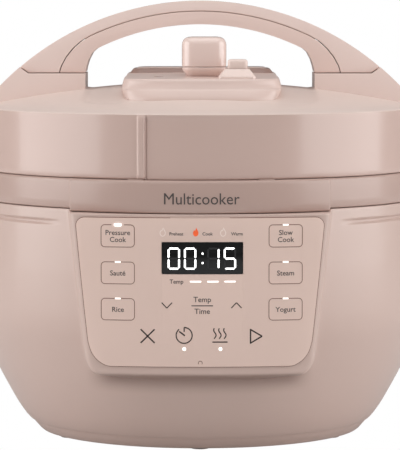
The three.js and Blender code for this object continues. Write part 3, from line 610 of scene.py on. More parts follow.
def make_lid_shell():
    rows = []
    around = np.linspace(0, 2 * math.pi, 288, endpoint=False)
    radii = np.concatenate([[0.0], np.arange(4, 76, 4), np.arange(76, LID_CREASE, 1.4), [LID_CREASE - 0.4]])
    for radius in radii:
        x, y = radius * np.cos(around), radius * np.sin(around)
        rows.append(list(zip(x, y, dome_height(radius) - hollow_depth(x, y))))
    for radius, z in [(LID_CREASE + 0.4, dome_height(LID_CREASE) - 0.3), (LID_RADIUS - 1.4, LID_EDGE_Z + 0.35),
                      (LID_RADIUS - 0.5, LID_EDGE_Z), (LID_RADIUS - 0.1, LID_EDGE_Z - 0.5)]:
        rows.append(list(zip(radius * np.cos(around), radius * np.sin(around), [z] * len(around))))
    skin("lid_shell", rows, "dome_plastic", "lid", ["lid_cover"], slot="lid_plastic", sharp=50)


def make_lid_skirt():
    """Side of the lid, with its raised rib left of the front and the flat field beside it."""
    degrees = np.unique(np.round(np.concatenate([np.arange(-180, 180, 2.0), np.arange(-17, -11, 0.12)]), 3))
    turn = np.radians(degrees)
    rib = 0.5 * (np.tanh((degrees + 15.05) / 0.13) - np.tanh((degrees + 13.45) / 0.13))
    groove = np.exp(-((degrees + 13.05) / 0.2) ** 2)
    field = (degrees > -13.3) * (1 - smoothstep(degrees, -13.3, 30))
    shape = 1.15 * rib - 0.7 * groove - 0.9 * field
    rows = []
    profile = [(-0.1, LID_EDGE_Z - 0.5, 0.0), (0, LID_EDGE_Z - 1.4, 0.3), (0, LID_EDGE_Z - 2.6, 1.0)]
    profile += [(0, z, 1.0) for z in np.linspace(LID_EDGE_Z - 6, LID_SKIRT_BOTTOM + 4, 9)]
    profile += [(0, LID_SKIRT_BOTTOM + 1.4, 1.0), (-0.35, LID_SKIRT_BOTTOM + 0.4, 0.7), (-1.2, LID_SKIRT_BOTTOM,
                0.0), (-2.8, LID_SKIRT_BOTTOM, 0.0), (-3.0, 203.5, 0.0), (-3.0, 238, 0.0)]
    for inset, z, share in profile:
        radius = LID_RADIUS + inset + shape * share
        rows.append(list(zip(radius * np.sin(turn), -radius * np.cos(turn), [z] * len(turn))))
    skin("lid_skirt", rows, "skirt_plastic", "lid", slot="lid_plastic", sharp=50)


make_lid_shell()
make_lid_skirt()


def arc_points(arc, x0, x1, steps=28):
    radius, centre = arc
    return [(x, centre + math.sqrt(radius ** 2 - x ** 2)) for x in np.linspace(x0, x1, steps)]


def mirrored(points):
    return [(-x, z) for x, z in reversed(points)]


def make_handle():
    for side, label in ((1, "right"), (-1, "left")):
        outline = [(85.6, 258), (85.6, FOOT_TOP - 0.2), (128.3, FOOT_TOP - 0.2), (133.9, 275.2)]
        outline += [(x, z) for x, z in arc_points(HANDLE_ARC, 134.6, 161.5, 12)] + [(162, 243)]
        outline = [(side * x, z) for x, z in outline]
        prism(f"handle_foot_{label}", outline, -27, 27, "lid_plastic", "lid",
              bevels=[(3.5, lambda p: abs(abs(p.y) - 27) < 0.1 and p.z > 259)])
    inner = arc_points(GRIP_ARC, -77, 77)
    right = [(80.6, 286.6), (83.4, 281.2), (85.0, 276), (85.8, FOOT_TOP + 0.3), (104.8, FOOT_TOP + 0.3)]
    right += [(103.2, 277), (99.7, 283.4), (94.5, 289.9), (88.5, 295.2)]
    upper = arc_points(SEAM_ARC, 82, -82)
    grip = inner + right + upper + mirrored(right)
    ends = lambda p: abs(abs(p.y) - HANDLE_HALF) < 0.1
    seam_side = lambda p: ends(p) and math.hypot(p.x, p.z - SEAM_ARC[1]) > SEAM_ARC[0] - 2.6
    prism("handle_grip_skin", grip, -HANDLE_HALF, HANDLE_HALF, "grip_plastic", "lid", ["handle_grip"],
          slot="lid_plastic", bevels=[(0.7, lambda p: seam_side(p) or p.z < 272.5), (6.5,
                lambda p: ends(p) and not seam_side(p) and p.z > 274)])
    tongue = arc_points((SEAM_ARC[0] - 2.0, SEAM_ARC[1]), -86, 86) + arc_points((SEAM_ARC[0] + 2.5,
                SEAM_ARC[1]), 86, -86)
    prism("handle_seam_tongue", tongue, 1.4 - HANDLE_HALF, HANDLE_HALF - 1.4, "rim_plastic", "lid",
          slot="lid_plastic")
    gap = 0.55
    below = arc_points((SEAM_ARC[0] + gap, SEAM_ARC[1]), -82, 82)
    outer = [(88.9, 295.6), (95.0, 290.3), (100.2, 283.7), (103.8, 277.1), (105.4, FOOT_TOP + 0.3),
             (128.0, FOOT_TOP + 0.3), (133.3, 275.4)]
    crown = arc_points(HANDLE_ARC, 133.6, -133.6, 60)
    cover = below + outer + crown + mirrored(outer)
    on_crown = lambda p: ends(p) and math.hypot(p.x, p.z - HANDLE_ARC[1]) > HANDLE_ARC[0] - 0.8
    prism("handle_cover_skin", cover, -HANDLE_HALF, HANDLE_HALF, "lid_plastic", "lid", ["handle_cover"],
          bevels=[(0.7, lambda p: ends(p) and not on_crown(p)), (7.0, on_crown)])


make_handle()


# ------------------------------------------------------------------ steam release platform and its parts
def platform_loop(front_radius, half_width, rear, shrink=1.0, count=288):
    """Plan outline of the platform: straight sides, a front arc about the pot axis and a straight rear."""
    turn = np.linspace(0, 2 * math.pi, count, endpoint=False)
    across, along = np.cos(turn), np.sin(turn)
    x0, y0 = PLATFORM_CENTRE
    lean = x0 * across + y0 * along
    arc = -lean + np.sqrt(lean ** 2 - x0 ** 2 - y0 ** 2 + front_radius ** 2)
    side = half_width / np.maximum(abs(across), 1e-3)
    back = np.where(along > 0, (rear - y0) / np.maximum(along, 1e-3), 400.0)
    reach = smooth_min(smooth_min(arc, side, 9.0), back, 14.0) * shrink
    return x0 + reach * across, y0 + reach * along


def platform_top(x, y):
    """Height of the platform's top face, with the gap in front of the raised block."""
    middle = abs(x - PLATFORM_CENTRE[0])
    gap = np.exp(-((y + 32.2) / 1.6) ** 4) * (1 - smoothstep(middle, 50, 54))
    crown = 1.0 - (x / 62) ** 2
    rise = 2.0 * smoothstep(y, -112, -34) + 0.7 * crown
    return 269.5 + rise - 3.0 * gap - 5.5 * smoothstep(y, 10, 40)


def bore_skin(mesh, centre, radius, above, depth, sides=16):
    """Round hole through the part of a skin that lies above a height, with a short wall down from its rim."""
    edit = bmesh.new()
    edit.from_mesh(mesh)
    middle = Vector((centre[0] * MM, centre[1] * MM, 0))
    turns = [2 * math.pi * i / sides for i in range(sides)]
    normals = [Vector((math.cos(a), math.sin(a), 0)) for a in turns]

    def near(reach):
        return [f for f in edit.faces if f.calc_center_median().z > above * MM
                and (f.calc_center_median().xy - middle.xy).length < reach * MM]

    for normal in normals:
        bmesh.ops.bisect_plane(edit, geom=with_edges(near(radius + 3.5)),
                               plane_co=middle + normal * radius * MM, plane_no=normal)
    inside = [f for f in near(radius + 1)
              if all((f.calc_center_median() - middle).dot(n) < radius * MM for n in normals)]
    bmesh.ops.delete(edit, geom=inside, context="FACES")
    rim = [e for e in edit.edges if e.is_boundary
           and all((v.co.xy - middle.xy).length < (radius + 1) * MM for v in e.verts)]
    wall = bmesh.ops.extrude_edge_only(edit, edges=rim)["geom"]
    for vertex in (v for v in wall if isinstance(v, bmesh.types.BMVert)):
        vertex.co.z -= depth * MM
    for face in edit.faces:
        face.smooth = True
    for edge in edit.edges:
        edge.smooth = not (len(edge.link_faces) == 2 and edge.calc_face_angle(0) > 1.0)
    edit.to_mesh(mesh)
    edit.free()


def make_platform():
    rows = []
    tiers = [(123.4, 55.0, 250.0), (123.2, 56.0, 255.4), (122.4, 57.2, 257.2), (119.9, 58.9, 261.4), (119.3,
                59.2, 262.1), (118.2, 59.3, 262.4), (117.5, 59.2, 263.0), (116.4, 58.0, 267.6), (115.9, 57.5,
                269.0), (115.2, 56.9, 269.6), (114.2, 56.2, 269.9)]
    for front_radius, half_width, z in tiers:
        x, y = platform_loop(front_radius, half_width, 42)
        rows.append(list(zip(x, y, z - 6.0 * smoothstep(y, 5, 40) * (z > 257))))
    for shrink in np.concatenate([[0.994], np.linspace(0.98, 0.03, 72), [0.0]]):
        x, y = platform_loop(113.6, 55.7, 41, shrink)
        rows.append(list(zip(x, y, platform_top(x, y))))
    platform = skin("vent_platform_skin", rows, "platform_plastic", "lid", ["vent_platform"],
            slot="lid_plastic", sharp=60)
    bore_skin(platform.data, FLOAT, 4.0, 262.0, 2.5)
    arch = lambda x, y, z: (0.0 if z < 271 else -1.3 * ((x - PLATFORM_CENTRE[0]) / 50) ** 2)
    side = [(0.4, 266.0), (0, 270.4, 0.4), (0.9, 273.0), (3.2, 276.1, 1.4), (7.5, 276.4)]
    # The raised block is coloured dark all over as painted shade for the shadowed band in front of it; the pale
    # plate on its top is the next piece.
    tiered("platform_block", PLATFORM_CENTRE[0], -3.2, 54.6, 26.4, 12.0, side, "painted_shade_plastic", "lid",
           lift=arch, slot="lid_plastic", sharp=60)
    top = [(6.4, 275.9), (6.4, 276.4, 0.3), (6.9, 276.75, 0.3), (12, 276.8)]
    tiered("platform_block_top", PLATFORM_CENTRE[0], -2.6, 54.6, 26.4, 12.0, top, "platform_plastic", "lid",
           lift=arch, slot="lid_plastic", sharp=60)


make_platform()


def make_steam_cap():
    base = [(4.6, 270.4), (4.0, 270.7, 0.4), (2.3, 272.6, 1.0), (0.5, 275.2, 1.2), (0.1, 276.8), (0.1, 277.4,
                0.3), (1.2, 277.7)]
    tiered("steam_cap_base_skin", *VENT, 16.2, 16.2, 9.0, base, "knob_plastic", "cap", ["steam_cap_base"],
           slot="lid_plastic", sharp=50)
    top = [(1.2, 277.9), (0.3, 277.95), (0.1, 278.4, 0.3), (0.0, 281), (0.0, 293.4), (0.3, 295.4), (1.0, 297.0),
           (2.2, 298.3), (4.2, 299.2), (7.0, 299.55), (11, 299.6)]
    tiered("steam_cap_skin", *VENT, 16.2, 16.2, 9.0, top, "knob_plastic", "cap", ["steam_cap"],
           slot="lid_plastic", sharp=60)


def make_button():
    """Housing with the well that the hollow button sinks into."""
    centre = (26.3 + BUTTON[0]) / 2
    outside = rounded([(0.1, 269.3), (0.0, 270.6), (0.3, 271.6, 0.5), (4.3, 276.3, 0.6), (4.6, 276.75)])
    rows = [[(x, y, z) for x, y in rounded_loop(centre, BUTTON[1], 13.5 - inset, 12.0 - inset, max(3.5 - inset,
                0.6))] for inset, z in outside]
    well = [(7.8, 6.8, 2.9, 276.8), (7.7, 6.7, 2.8, 276.6), (7.7, 6.7, 2.8, 270.1), (1.9, 1.9, 1.89, 270.1),
            (1.9, 1.9, 1.89, 269.3)]
    rows += [[(x, y, z) for x, y in rounded_loop(*BUTTON, half_x, half_y, corner)] for half_x, half_y, corner,
            z in well]
    skin("button_housing_skin", rows, "pale_plastic", "lid", ["button_housing"], close_rows=True,
         slot="lid_plastic", sharp=50)
    sides = [(5, 5, 4.99, 281.2), (5, 5, 4.99, 275.8), (6.9, 6.0, 2.5, 275.8), (7.2, 6.3, 2.8, 276.1), (7.2,
                6.3, 2.8, 281.9), (7.0, 6.1, 2.6, 282.7), (6.4, 5.5, 2.1, 283.3), (5.4, 4.5, 1.5, 283.65), (3.0,
                2.1, 0.8, 283.75)]
    rows = [[(x, y, z) for x, y in rounded_loop(*BUTTON, half_x, half_y, corner)] for half_x, half_y, corner,
            z in sides]
    skin("release_button_skin", rows, "pale_plastic", "button", ["release_button"], cap=True,
         slot="lid_plastic", sharp=60)


def make_spring(name, centre, radius, wire, low, high, turns, body, node):
    """Wire coil between two heights, with a mesh of its own."""
    rows = []
    for t in np.linspace(0, 1, int(turns * 28) + 1):
        turn = 2 * math.pi * turns * t
        along = np.array([math.cos(turn), math.sin(turn), 0.0])
        middle = np.array([*centre, low + wire + (high - low - 2 * wire) * t]) + radius * along
        rows.append([tuple(middle + wire * (math.cos(a) * along + np.array([0, 0, math.sin(a)])))
                     for a in np.linspace(0, 2 * math.pi, 10, endpoint=False)])
    spring = skin(name, rows, "stainless", body, [node], cap=True, sharp=60)
    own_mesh(spring)


make_spring("button_spring_coil", BUTTON, 3.3, 0.4, 270.5, 280.8, 4, "lid", "button_spring")
make_spring("sensor_spring_coil", (0, 0), 7.5, 0.8, 9.1, 23.7, 4, "cooker", "sensor_spring")
make_steam_cap()
make_button()


# ------------------------------------------------------------------ turned pieces inside and under the cooker
def make_feet():
    for i, (x, y) in enumerate(FOOT_PLACES, 1):
        lathe(f"foot_{i}_skin", [(0, 0), (6.8, 0, 0.8), (7.5, 0.9, 0.6), (7.5, 3.7, 0.3), (2.5, 3.7), (2.5,
                    6.6), (0, 6.6)], "foot_rubber", "cooker", [f"foot_{i}"], (x, y), 40)


FOOT_PLACES = [((b[0].x + b[1].x) / 2 / MM, (b[0].y + b[1].y) / 2 / MM)
               for b in ([Vector(c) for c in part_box(f"foot_{i}")] for i in range(1, 7))]
make_feet()

lathe("outer_pot_skin", [(22, 16, 0.5), (114, 16, 4), (118.3, 20, 4), (118.3, 181.3), (124, 181.3, 0.4), (124,
            182.9, 0.4), (116.8, 182.9, 0.8), (116.8, 21, 4), (113.5, 17.5, 3), (22, 17.5, 0.5)], "aluminium",
      "cooker", ["outer_pot"], closed=True)
lathe("locking_flange_skin", [(116.8, 183.2, 0.6), (126, 183.2, 0.5), (126, 187, 0.7), (116.8, 187, 1.2)],
      "stainless", "cooker", ["locking_flange"], closed=True)
sectors("locking_flange_tabs", 125.6, 133, 183.2, 187, [60 * i for i in range(6)], 22, "stainless", "cooker",
        edge=0.7)
plate_rings = [point for r in range(26, 84, 8) for point in ((r, 30), (r + 0.4, 29.6), (r + 0.9, 30))]
lathe("heating_plate_skin", [(15.3, 22, 0.5), (86, 22, 2), (90, 26, 2), (90, 29, 1), (88, 30, 1.2),
            *reversed(plate_rings), (15.3, 30, 0.6)], "aluminium", "cooker", ["heating_plate"], closed=True)
lathe("temperature_sensor_skin", [(0, 12), (4.5, 12, 0.6), (4.5, 24), (13, 24, 0.6), (14, 25, 0.6), (14, 29.2,
            1.0), (13, 30, 0.8), (0, 30)], "aluminium", "sensor", ["temperature_sensor"], segments=72)
lathe("inner_pot_skin", [(0, 30.3), (104, 30.3, 3), (109, 32, 5), (112.2, 37, 5), (112.2, 186, 1), (113.5,
            187.6, 1), (121, 187.6, 0.5), (121, 189.1, 0.5), (112.5, 189.1, 1.6), (111, 187.5, 1), (111, 38, 5),
            (108, 36, 4), (104, 35.3, 4), (0, 35.3)], "stainless", "pot", ["inner_pot"])
lathe("sealing_ring_skin", [(112.6, 189.4, 1.2), (122.5, 189.4, 1.4), (122.5, 195.2, 1.6), (119.3, 195.2, 0.8),
                            (117.6, 192.4, 0.8), (115.8, 195.2, 0.8), (112.6, 195.2, 1.2)],
      "silicone", "seal", ["sealing_ring"], closed=True)
lathe("lid_plate_skin", [(0, 232), (70, 229, 30), (98, 222, 8), (104, 212, 5), (106, 197, 2), (107.5, 195.5,
            1.5), (134.5, 195.5, 1), (136, 194, 1), (136, 178.6, 0.3), (137.5, 178.6, 0.3), (137.5, 195, 1.5),
            (135.4, 197, 1.5), (108.2, 197, 1), (107.5, 198, 1), (105.5, 212.6, 5), (99, 223.3, 8), (70, 230.5,
            30), (0, 233.5)], "stainless", "lid", ["lid_plate"])
sectors("lid_plate_tabs", 128, 136.4, 178.6, 181.8, [60 * i - 34 for i in range(6)], 22, "stainless", "lid",
        edge=0.6)
lathe("lid_liner_skin", [(138.1, 190, 0.5), (139.6, 190, 0.5), (139.6, 201.4, 1), (164.4, 201.4, 0.6), (164.4,
            203.4, 0.6), (138.1, 203.4, 0.5)], "lid_plastic", "lid", ["lid_liner"], closed=True)
lathe("lid_bolt_skin", [(0, 227.8), (2.2, 227.8), (2.6, 228.6), (5.8, 227.9, 0.6), (7, 228.8, 0.6), (7, 231.6,
            0.4), (3, 231.6), (3, 250, 0.5), (0, 250)], "zinc", "lid", ["lid_bolt"], segments=48)
lathe("steam_pipe_skin", [(1.6, 221.4), (4, 221.4, 0.5), (4, 224.6), (8, 224.6, 0.5), (8, 227.1, 0.5), (5,
            227.1), (5, 282.5), (3.4, 284, 0.6), (1.6, 284)], "stainless", "lid", ["steam_pipe"], VENT, 48,
      closed=True)
lathe("valve_weight_skin", [(0, 284.4), (4, 284.4), (6, 282), (6, 267.8), (9, 267.8, 0.5), (9, 291, 1.4), (7,
            293, 1.4), (0, 293)], "black_plastic", "weight", ["valve_weight"], VENT, 48)
lathe("float_pin_skin", [(0, 212), (2.4, 212, 0.4), (2.4, 228.8), (4.6, 228.8, 0.3), (4.6, 230.8, 0.3), (2.6,
            230.8), (2.6, 268.2, 0.8), (0, 268.4)], "zinc", "float", ["float_valve"], FLOAT, 40)
lathe("float_cap_skin", [(2.7, 213), (5.4, 213, 0.8), (6, 214.5, 0.8), (6, 218.4, 0.8), (2.7, 218.4)],
      "silicone", "float", ["float_valve_cap"], FLOAT, 40, closed=True)
tiered("collector_skin", 0, 164.9, 29.9, 8.9, 3.0, [(1.6, 104), (0.0, 105.6, 1.2), (0.0, 158.8), (0.3, 159.8,
            0.4), (1.3, 159.9, 0.3), (1.6, 159.4, 0.3), (1.6, 107), (3.0, 105.7, 1.0), (5, 105.6)],
       "smoked_plastic", "collector", ["condensation_collector"], sharp=50)


def make_power_inlet():
    def loop(half_x, half_z, corner, y):
        return [(x, y, z) for x, z in rounded_loop(0, 80, half_x, half_z, corner)]

    rows = [loop(15, 11.7, 1.5, 138), loop(15, 11.7, 1.5, 166.2), loop(14.8, 11.5, 1.5, 166.8), loop(14.3, 11.0,
                1.4, 167), loop(12.0, 8.5, 2.0, 167), loop(11.6, 8.1, 1.9, 166.8), loop(11.5, 8.0, 1.8, 166.3),
            loop(11.5, 8.0, 1.8, 147)]
    skin("power_inlet_skin", rows, "black_plastic", "cooker", ["power_inlet"], cap=True, sharp=40)


make_power_inlet()


# ------------------------------------------------------------------ panel
def face_y(x, offset=OVERLAY_FRONT):
    """Y of the curved front face at x, offset forwards."""
    radius = FACE_RADIUS + offset
    return -(FACE_CENTRE + math.sqrt(radius ** 2 - x ** 2))


PANEL_EDGE = [(-83.5, 174.6), (-87.2, 171.0), (-84.2, 140), (-80.8, 107), (-78.7, 87.6), (-76.6, 80),
              (-72.4, 74.3), (-65.6, 70.2)]


def sheet_piece(name, outline, front, thickness, look, body, nodes=(), edge=0.35, hole=None):
    """Curved sheet on the front face with a rounded edge, cut into fine columns so that it bends."""
    mesh = bpy.data.meshes.new(name)
    edit = bmesh.new()
    loop = [edit.verts.new((x * MM, 0, z * MM)) for x, z in outline]
    edit.faces.new(loop)
    if hole:
        x0, x1, z0, z1 = hole
        for axis, value in ((0, x0), (0, x1), (2, z0), (2, z1)):
            cut_square(edit, axis, value)
        inside = [f for f in edit.faces if x0 < f.calc_center_median().x / MM < x1
                  and z0 < f.calc_center_median().z / MM < z1]
        bmesh.ops.delete(edit, geom=inside, context="FACES")
    for x in np.arange(-86, 86.1, 4):
        cut_square(edit, 0, x)
    flat = list(edit.faces)
    grown = bmesh.ops.extrude_face_region(edit, geom=flat)
    for v in [g for g in grown["geom"] if isinstance(g, bmesh.types.BMVert)]:
        v.co.y = thickness * MM
    bmesh.ops.recalc_face_normals(edit, faces=edit.faces)
    rim = [e for e in edit.edges if e.calc_face_angle(0) > 1.0 and max(abs(v.co.y) for v in e.verts) < 1e-6]
    bmesh.ops.bevel(edit, geom=rim, offset=edge * MM, segments=2, profile=0.6, affect="EDGES",
            clamp_overlap=True)
    for v in edit.verts:
        v.co.y += face_y(v.co.x / MM, front) * MM
    return finish_piece(name, mesh, edit, look, body, nodes, 40)


panel_outline = rounded([(*p, 3.0) for p in PANEL_EDGE + mirrored(PANEL_EDGE)], 3, closed=True)
sheet_piece("panel_overlay_skin", panel_outline, OVERLAY_FRONT, 1.2, "panel_film", "cooker", ["panel_overlay"],
        hole=DISPLAY)


def box_outline(x0, x1, z0, z1, corner):
    return [(x, z) for x, z in rounded_loop((x0 + x1) / 2, (z0 + z1) / 2, (x1 - x0) / 2, (z1 - z0) / 2, corner,
                5)]


sheet_piece("display_window_skin", box_outline(DISPLAY[0] + 0.2, DISPLAY[1] - 0.2, DISPLAY[2] + 0.2,
            DISPLAY[3] - 0.2, 1.0), OVERLAY_FRONT - 0.05, 1.2, "display_glass", "cooker", ["display_window"])


# ------------------------------------------------------------------ printed graphics
PRINT_LAYER = OVERLAY_FRONT + 0.06
GLOW_LAYER = OVERLAY_FRONT + 0.10


def flat_print(name, polygons, look, layer=PRINT_LAYER):
    """Thin printed areas, each polygon a list of (x, z), laid on the curved face."""
    edit = bmesh.new()
    for polygon in polygons:
        edit.faces.new([edit.verts.new((x * MM, 0, z * MM)) for x, z in polygon])
    lay_on_face(edit, layer)
    mesh = bpy.data.meshes.new(name)
    return finish_piece(name, mesh, edit, look, "cooker", (), 60)


def lay_on_face(edit, layer):
    """Gives flat areas a hair of thickness and bends them onto the face."""
    for x in np.arange(-84, 84.1, 6):
        cut_square(edit, 0, x)
    grown = bmesh.ops.extrude_face_region(edit, geom=list(edit.faces))
    for v in [g for g in grown["geom"] if isinstance(g, bmesh.types.BMVert)]:
        v.co.y = 0.1 * MM
    bmesh.ops.recalc_face_normals(edit, faces=edit.faces)
    for v in edit.verts:
        v.co.y += face_y(v.co.x / MM, layer) * MM


def stroke(points, width, closed=False):
    """Quads that follow a path of (x, z) points with a constant width."""
    quads = []
    pairs = list(zip(points, points[1:] + points[:1])) if closed else list(zip(points, points[1:]))
    count = len(points)
    sides = []
    for i, (x, z) in enumerate(points):
        before = points[i - 1] if (closed or i) else points[i]
        after = points[(i + 1) % count] if (closed or i < count - 1) else points[i]
        tangent = Vector((after[0] - before[0], after[1] - before[1])).normalized()
        normal = Vector((-tangent.y, tangent.x)) * width / 2
        sides.append(((x + normal.x, z + normal.y), (x - normal.x, z - normal.y)))
    for i in range(len(pairs)):
        j = (i + 1) % count
        quads.append([sides[i][0], sides[i][1], sides[j][1], sides[j][0]])
    return quads


def circle(cx, cz, radius, steps=24, start=0.0, sweep=360.0):
    turns = [math.radians(start + sweep * i / steps) for i in range(steps + (sweep < 360))]
    return [(cx + radius * math.cos(a), cz + radius * math.sin(a)) for a in turns]


def rectangle(x0, x1, z0, z1):
    return [(x0, z0), (x1, z0), (x1, z1), (x0, z1)]


def letter_mesh(text, height, bold=0.0):
    """Flat mesh of a word in the built-in font, centred on the origin, with capitals of that height."""
    curve = bpy.data.curves.new("letters", "FONT")
    curve.body = text
    curve.size = height * MM / 0.7
    curve.align_x = "CENTER"
    curve.align_y = "CENTER"
    curve.space_line = 0.98
    curve.offset = bold * MM
    curve.resolution_u = 3
    holder = bpy.data.objects.new("letters", curve)
    bpy.context.scene.collection.objects.link(holder)
    bpy.context.view_layer.update()
    mesh = bpy.data.meshes.new_from_object(holder.evaluated_get(bpy.context.evaluated_depsgraph_get()))
    bpy.data.objects.remove(holder)
    return mesh


def lettering(name, text, x, z, height, look="print_dark", bold=0.0):
    """Generic function label on the panel, centred on (x, z)."""
    edit = bmesh.new()
    edit.from_mesh(letter_mesh(text, height, bold))
    for v in edit.verts:
        v.co = (v.co.x + x * MM, 0, v.co.y + z * MM)
    lay_on_face(edit, PRINT_LAYER)
    mesh = bpy.data.meshes.new(name)
    return finish_piece(name, mesh, edit, look, "cooker", (), 60)


flat_print("overlay_seam", stroke(panel_outline, 0.9, closed=True), "print_line", 0.42)
KEY_WIDTH = 23.4
KEY_COLUMNS = {"left": -57.6, "right": 60.0}
KEY_ROWS = [(162.0, 15.6), (136.0, 15.4), (110.4, 15.2)]
LIT_LAMP = [(KEY_COLUMNS["left"], KEY_ROWS[0][0] + KEY_ROWS[0][1] / 2)]
KEY_LABELS = {
    "left": ["Pressure\nCook", "Saut\u00e9", "Rice"],
    "right": ["Slow\nCook", "Steam", "Yogurt"],
}


def make_keys():
    outlines = []
    slits = []
    for side, x in KEY_COLUMNS.items():
        for row, (z, height) in enumerate(KEY_ROWS):
            frame_line = box_outline(x - KEY_WIDTH / 2, x + KEY_WIDTH / 2, z - height / 2, z + height / 2, 2.6)
            outlines += stroke(frame_line, 0.55, closed=True)
            lettering(f"label_{side}_{row + 1}", KEY_LABELS[side][row], x, z - 0.3, 3.5, "print_grey", 0.05)
            slits.append(rectangle(x - 2.0, x + 2.0, z + height / 2 - 0.5, z + height / 2 + 0.5))
    flat_print("key_outlines", outlines, "print_line")
    flat_print("key_lamps", slits[1:], "print_white", GLOW_LAYER)
    flat_print("key_lamp_lit", [rectangle(x - 2.5, x + 2.5, z - 0.9, z + 0.9) for x, z in LIT_LAMP],
            "lit_white", GLOW_LAYER + 0.1)
    flat_print("key_lamp_glow", [[(x + 4.4 * math.cos(a), z + 2.8 * math.sin(a)) for a in np.linspace(0,
                2 * math.pi, 33)[:-1]] for x, z in LIT_LAMP], "lamp_glow", PRINT_LAYER + 0.02)


make_keys()

SEGMENTS = {
    "top": ((0, 2), (1, 2)), "middle": ((0, 1), (1, 1)), "bottom": ((0, 0), (1, 0)),
    "upper_left": ((0, 1), (0, 2)), "upper_right": ((1, 1), (1, 2)),
    "lower_left": ((0, 0), (0, 1)), "lower_right": ((1, 0), (1, 1)),
}
DIGITS = {
    "0": {"top", "bottom", "upper_left", "upper_right", "lower_left", "lower_right"},
    "1": {"upper_right", "lower_right"},
    "5": {"top", "middle", "bottom", "upper_left", "lower_right"},
}


def segment(x, z, name, width=8.6, height=15.4, thick=1.25):
    """Six-cornered bar of a seven-segment digit whose lower left corner is (x, z)."""
    (ax, az), (bx, bz) = SEGMENTS[name]
    inner_w, inner_h = width - thick, (height - thick) / 2
    start = Vector((x + thick / 2 + ax * inner_w, z + thick / 2 + az * inner_h))
    end = Vector((x + thick / 2 + bx * inner_w, z + thick / 2 + bz * inner_h))
    along = (end - start).normalized()
    across = Vector((-along.y, along.x)) * thick / 2
    start += along * 0.3
    end -= along * 0.3
    tip = along * thick / 2
    return [tuple(p) for p in (start, start + tip - across, end - tip - across, end, end - tip + across,
                start + tip + across)]


def make_display():
    lit, dark = [], []
    low = 138.7
    for x, digit in zip((-22.6, -11.2, 5.0, 16.6), "0015"):
        for name in SEGMENTS:
            (lit if name in DIGITS[digit] else dark).append(segment(x, low, name))
    for z in (143.3, 149.9):
        lit.append(circle(1.8, z, 0.75, 12))
    flat_print("display_digits", lit, "lit_white", GLOW_LAYER)
    flat_print("display_ghost_segments", dark, "unlit_segment", PRINT_LAYER)


make_display()


def flame(x, z, size):
    """Outline of a flame icon with its small second tongue."""
    shape = [(0.1, 1.25), (0.32, 0.75), (0.55, 0.35), (0.72, -0.1), (0.66, -0.6), (0.35, -1.0), (-0.05, -1.15),
            (-0.45, -1.0), (-0.72, -0.6), (-0.78, -0.15), (-0.6, 0.3), (-0.42, 0.62), (-0.3, 0.3), (-0.08,
                0.62)]
    return [(x + a * size, z + b * size) for a, b in shape]


def make_icons():
    white = []
    for x in (-3.1, 9.0, 21.0):
        white.append(rectangle(x - 3.9, x + 3.9, 129.7, 130.8))
    for x in (-11.1, 14.3):
        white.append(circle(x, 82.8, 1.3, 20))
    flat_print("indicator_lamps", white, "print_white", GLOW_LAYER)
    unlit = [quad for x in (-26.0, 16.2) for quad in stroke(flame(x, 164.9, 2.5), 0.5, closed=True)]
    flat_print("flames_unlit", unlit, "unlit_flame", GLOW_LAYER)
    flat_print("flame_lit", [flame(-2.9, 164.9, 2.6)], "lit_orange", GLOW_LAYER)
    dark = []
    for a, b in (((-26.8, 115.4), (-23.2, 111.6)), ((-23.2, 111.6), (-19.6, 115.4)), ((21.9, 111.6), (25.5,
                115.4)), ((25.5, 115.4), (29.1, 111.6))):
        dark += stroke([a, b], 0.7)
    for a, b in (((-41.6, 86.9), (-31.8, 96.6)), ((-41.6, 96.6), (-31.8, 86.9)), ((35.4, 86.4), (35.4, 96.8)),
                 ((35.2, 96.5), (43.5, 91.6)), ((43.5, 91.6), (35.2, 86.7))):
        dark += stroke([a, b], 1.0)
    dark += stroke(circle(-11.1, 92.4, 5.6, 30, 90, -320), 0.85)
    dark += stroke([(-10.6, 92.2), (-14.6, 95.2)], 1.0) + stroke([(-11.1, 98.0), (-11.1, 94.9)], 0.8)
    dark += stroke([(-11.1, 98.0), (-9.0, 97.6)], 0.8)
    for x in (10.4, 13.9, 17.4):
        wave = [(x + 0.85 * math.sin(t * 6.4 - 0.6), 90.0 + 7.4 * t) for t in np.linspace(0, 1, 14)]
        dark += stroke(wave, 0.8)
    dark += stroke([(8.7, 87.7), (19.3, 87.7)], 0.85)
    flat_print("panel_icons", dark, "print_dark")
    flat_print("temp_time_bar", [rectangle(-6.0, 9.1, 112.9, 113.6)], "print_grey")
    flat_print("lower_mark", stroke(circle(0.2, 69.9 + 3.0, 1.4, 10, 215, -250), 0.45), "print_line")
    for name, text, x, z, height in (
            ("label_preheat", "Preheat", -16.6, 163.6, 2.2), ("label_cook", "Cook", 5.2, 163.6, 2.2),
            ("label_warm", "Warm", 25.9, 163.6, 2.2), ("label_temp_bars", "Temp", -16.4, 130.1, 2.9),
            ("label_temp", "Temp", 1.6, 117.5, 3.7), ("label_time", "Time", 1.6, 109.2, 3.7)):
        lettering(name, text, x, z, height, "print_grey", 0.05)


make_icons()


def make_rim_caption():
    """Plain product type, printed where such cookers carry their name."""
    holder = letter_mesh("Multicooker", 8.0)
    edit = bmesh.new()
    edit.from_mesh(holder)
    for x in np.arange(-34, 34.1, 2):
        cut_square(edit, 0, x)
    for v in edit.verts:
        x = v.co.x / MM * 0.95
        radius = 172.05 + 0.12
        v.co = Vector((x + 0.9, -math.sqrt(radius ** 2 - (x + 0.9) ** 2), 187.6 + v.co.y / MM)) * MM
    mesh = bpy.data.meshes.new("rim_caption")
    finish_piece("rim_caption", mesh, edit, "print_grey", "cooker", (), 60)


make_rim_caption()

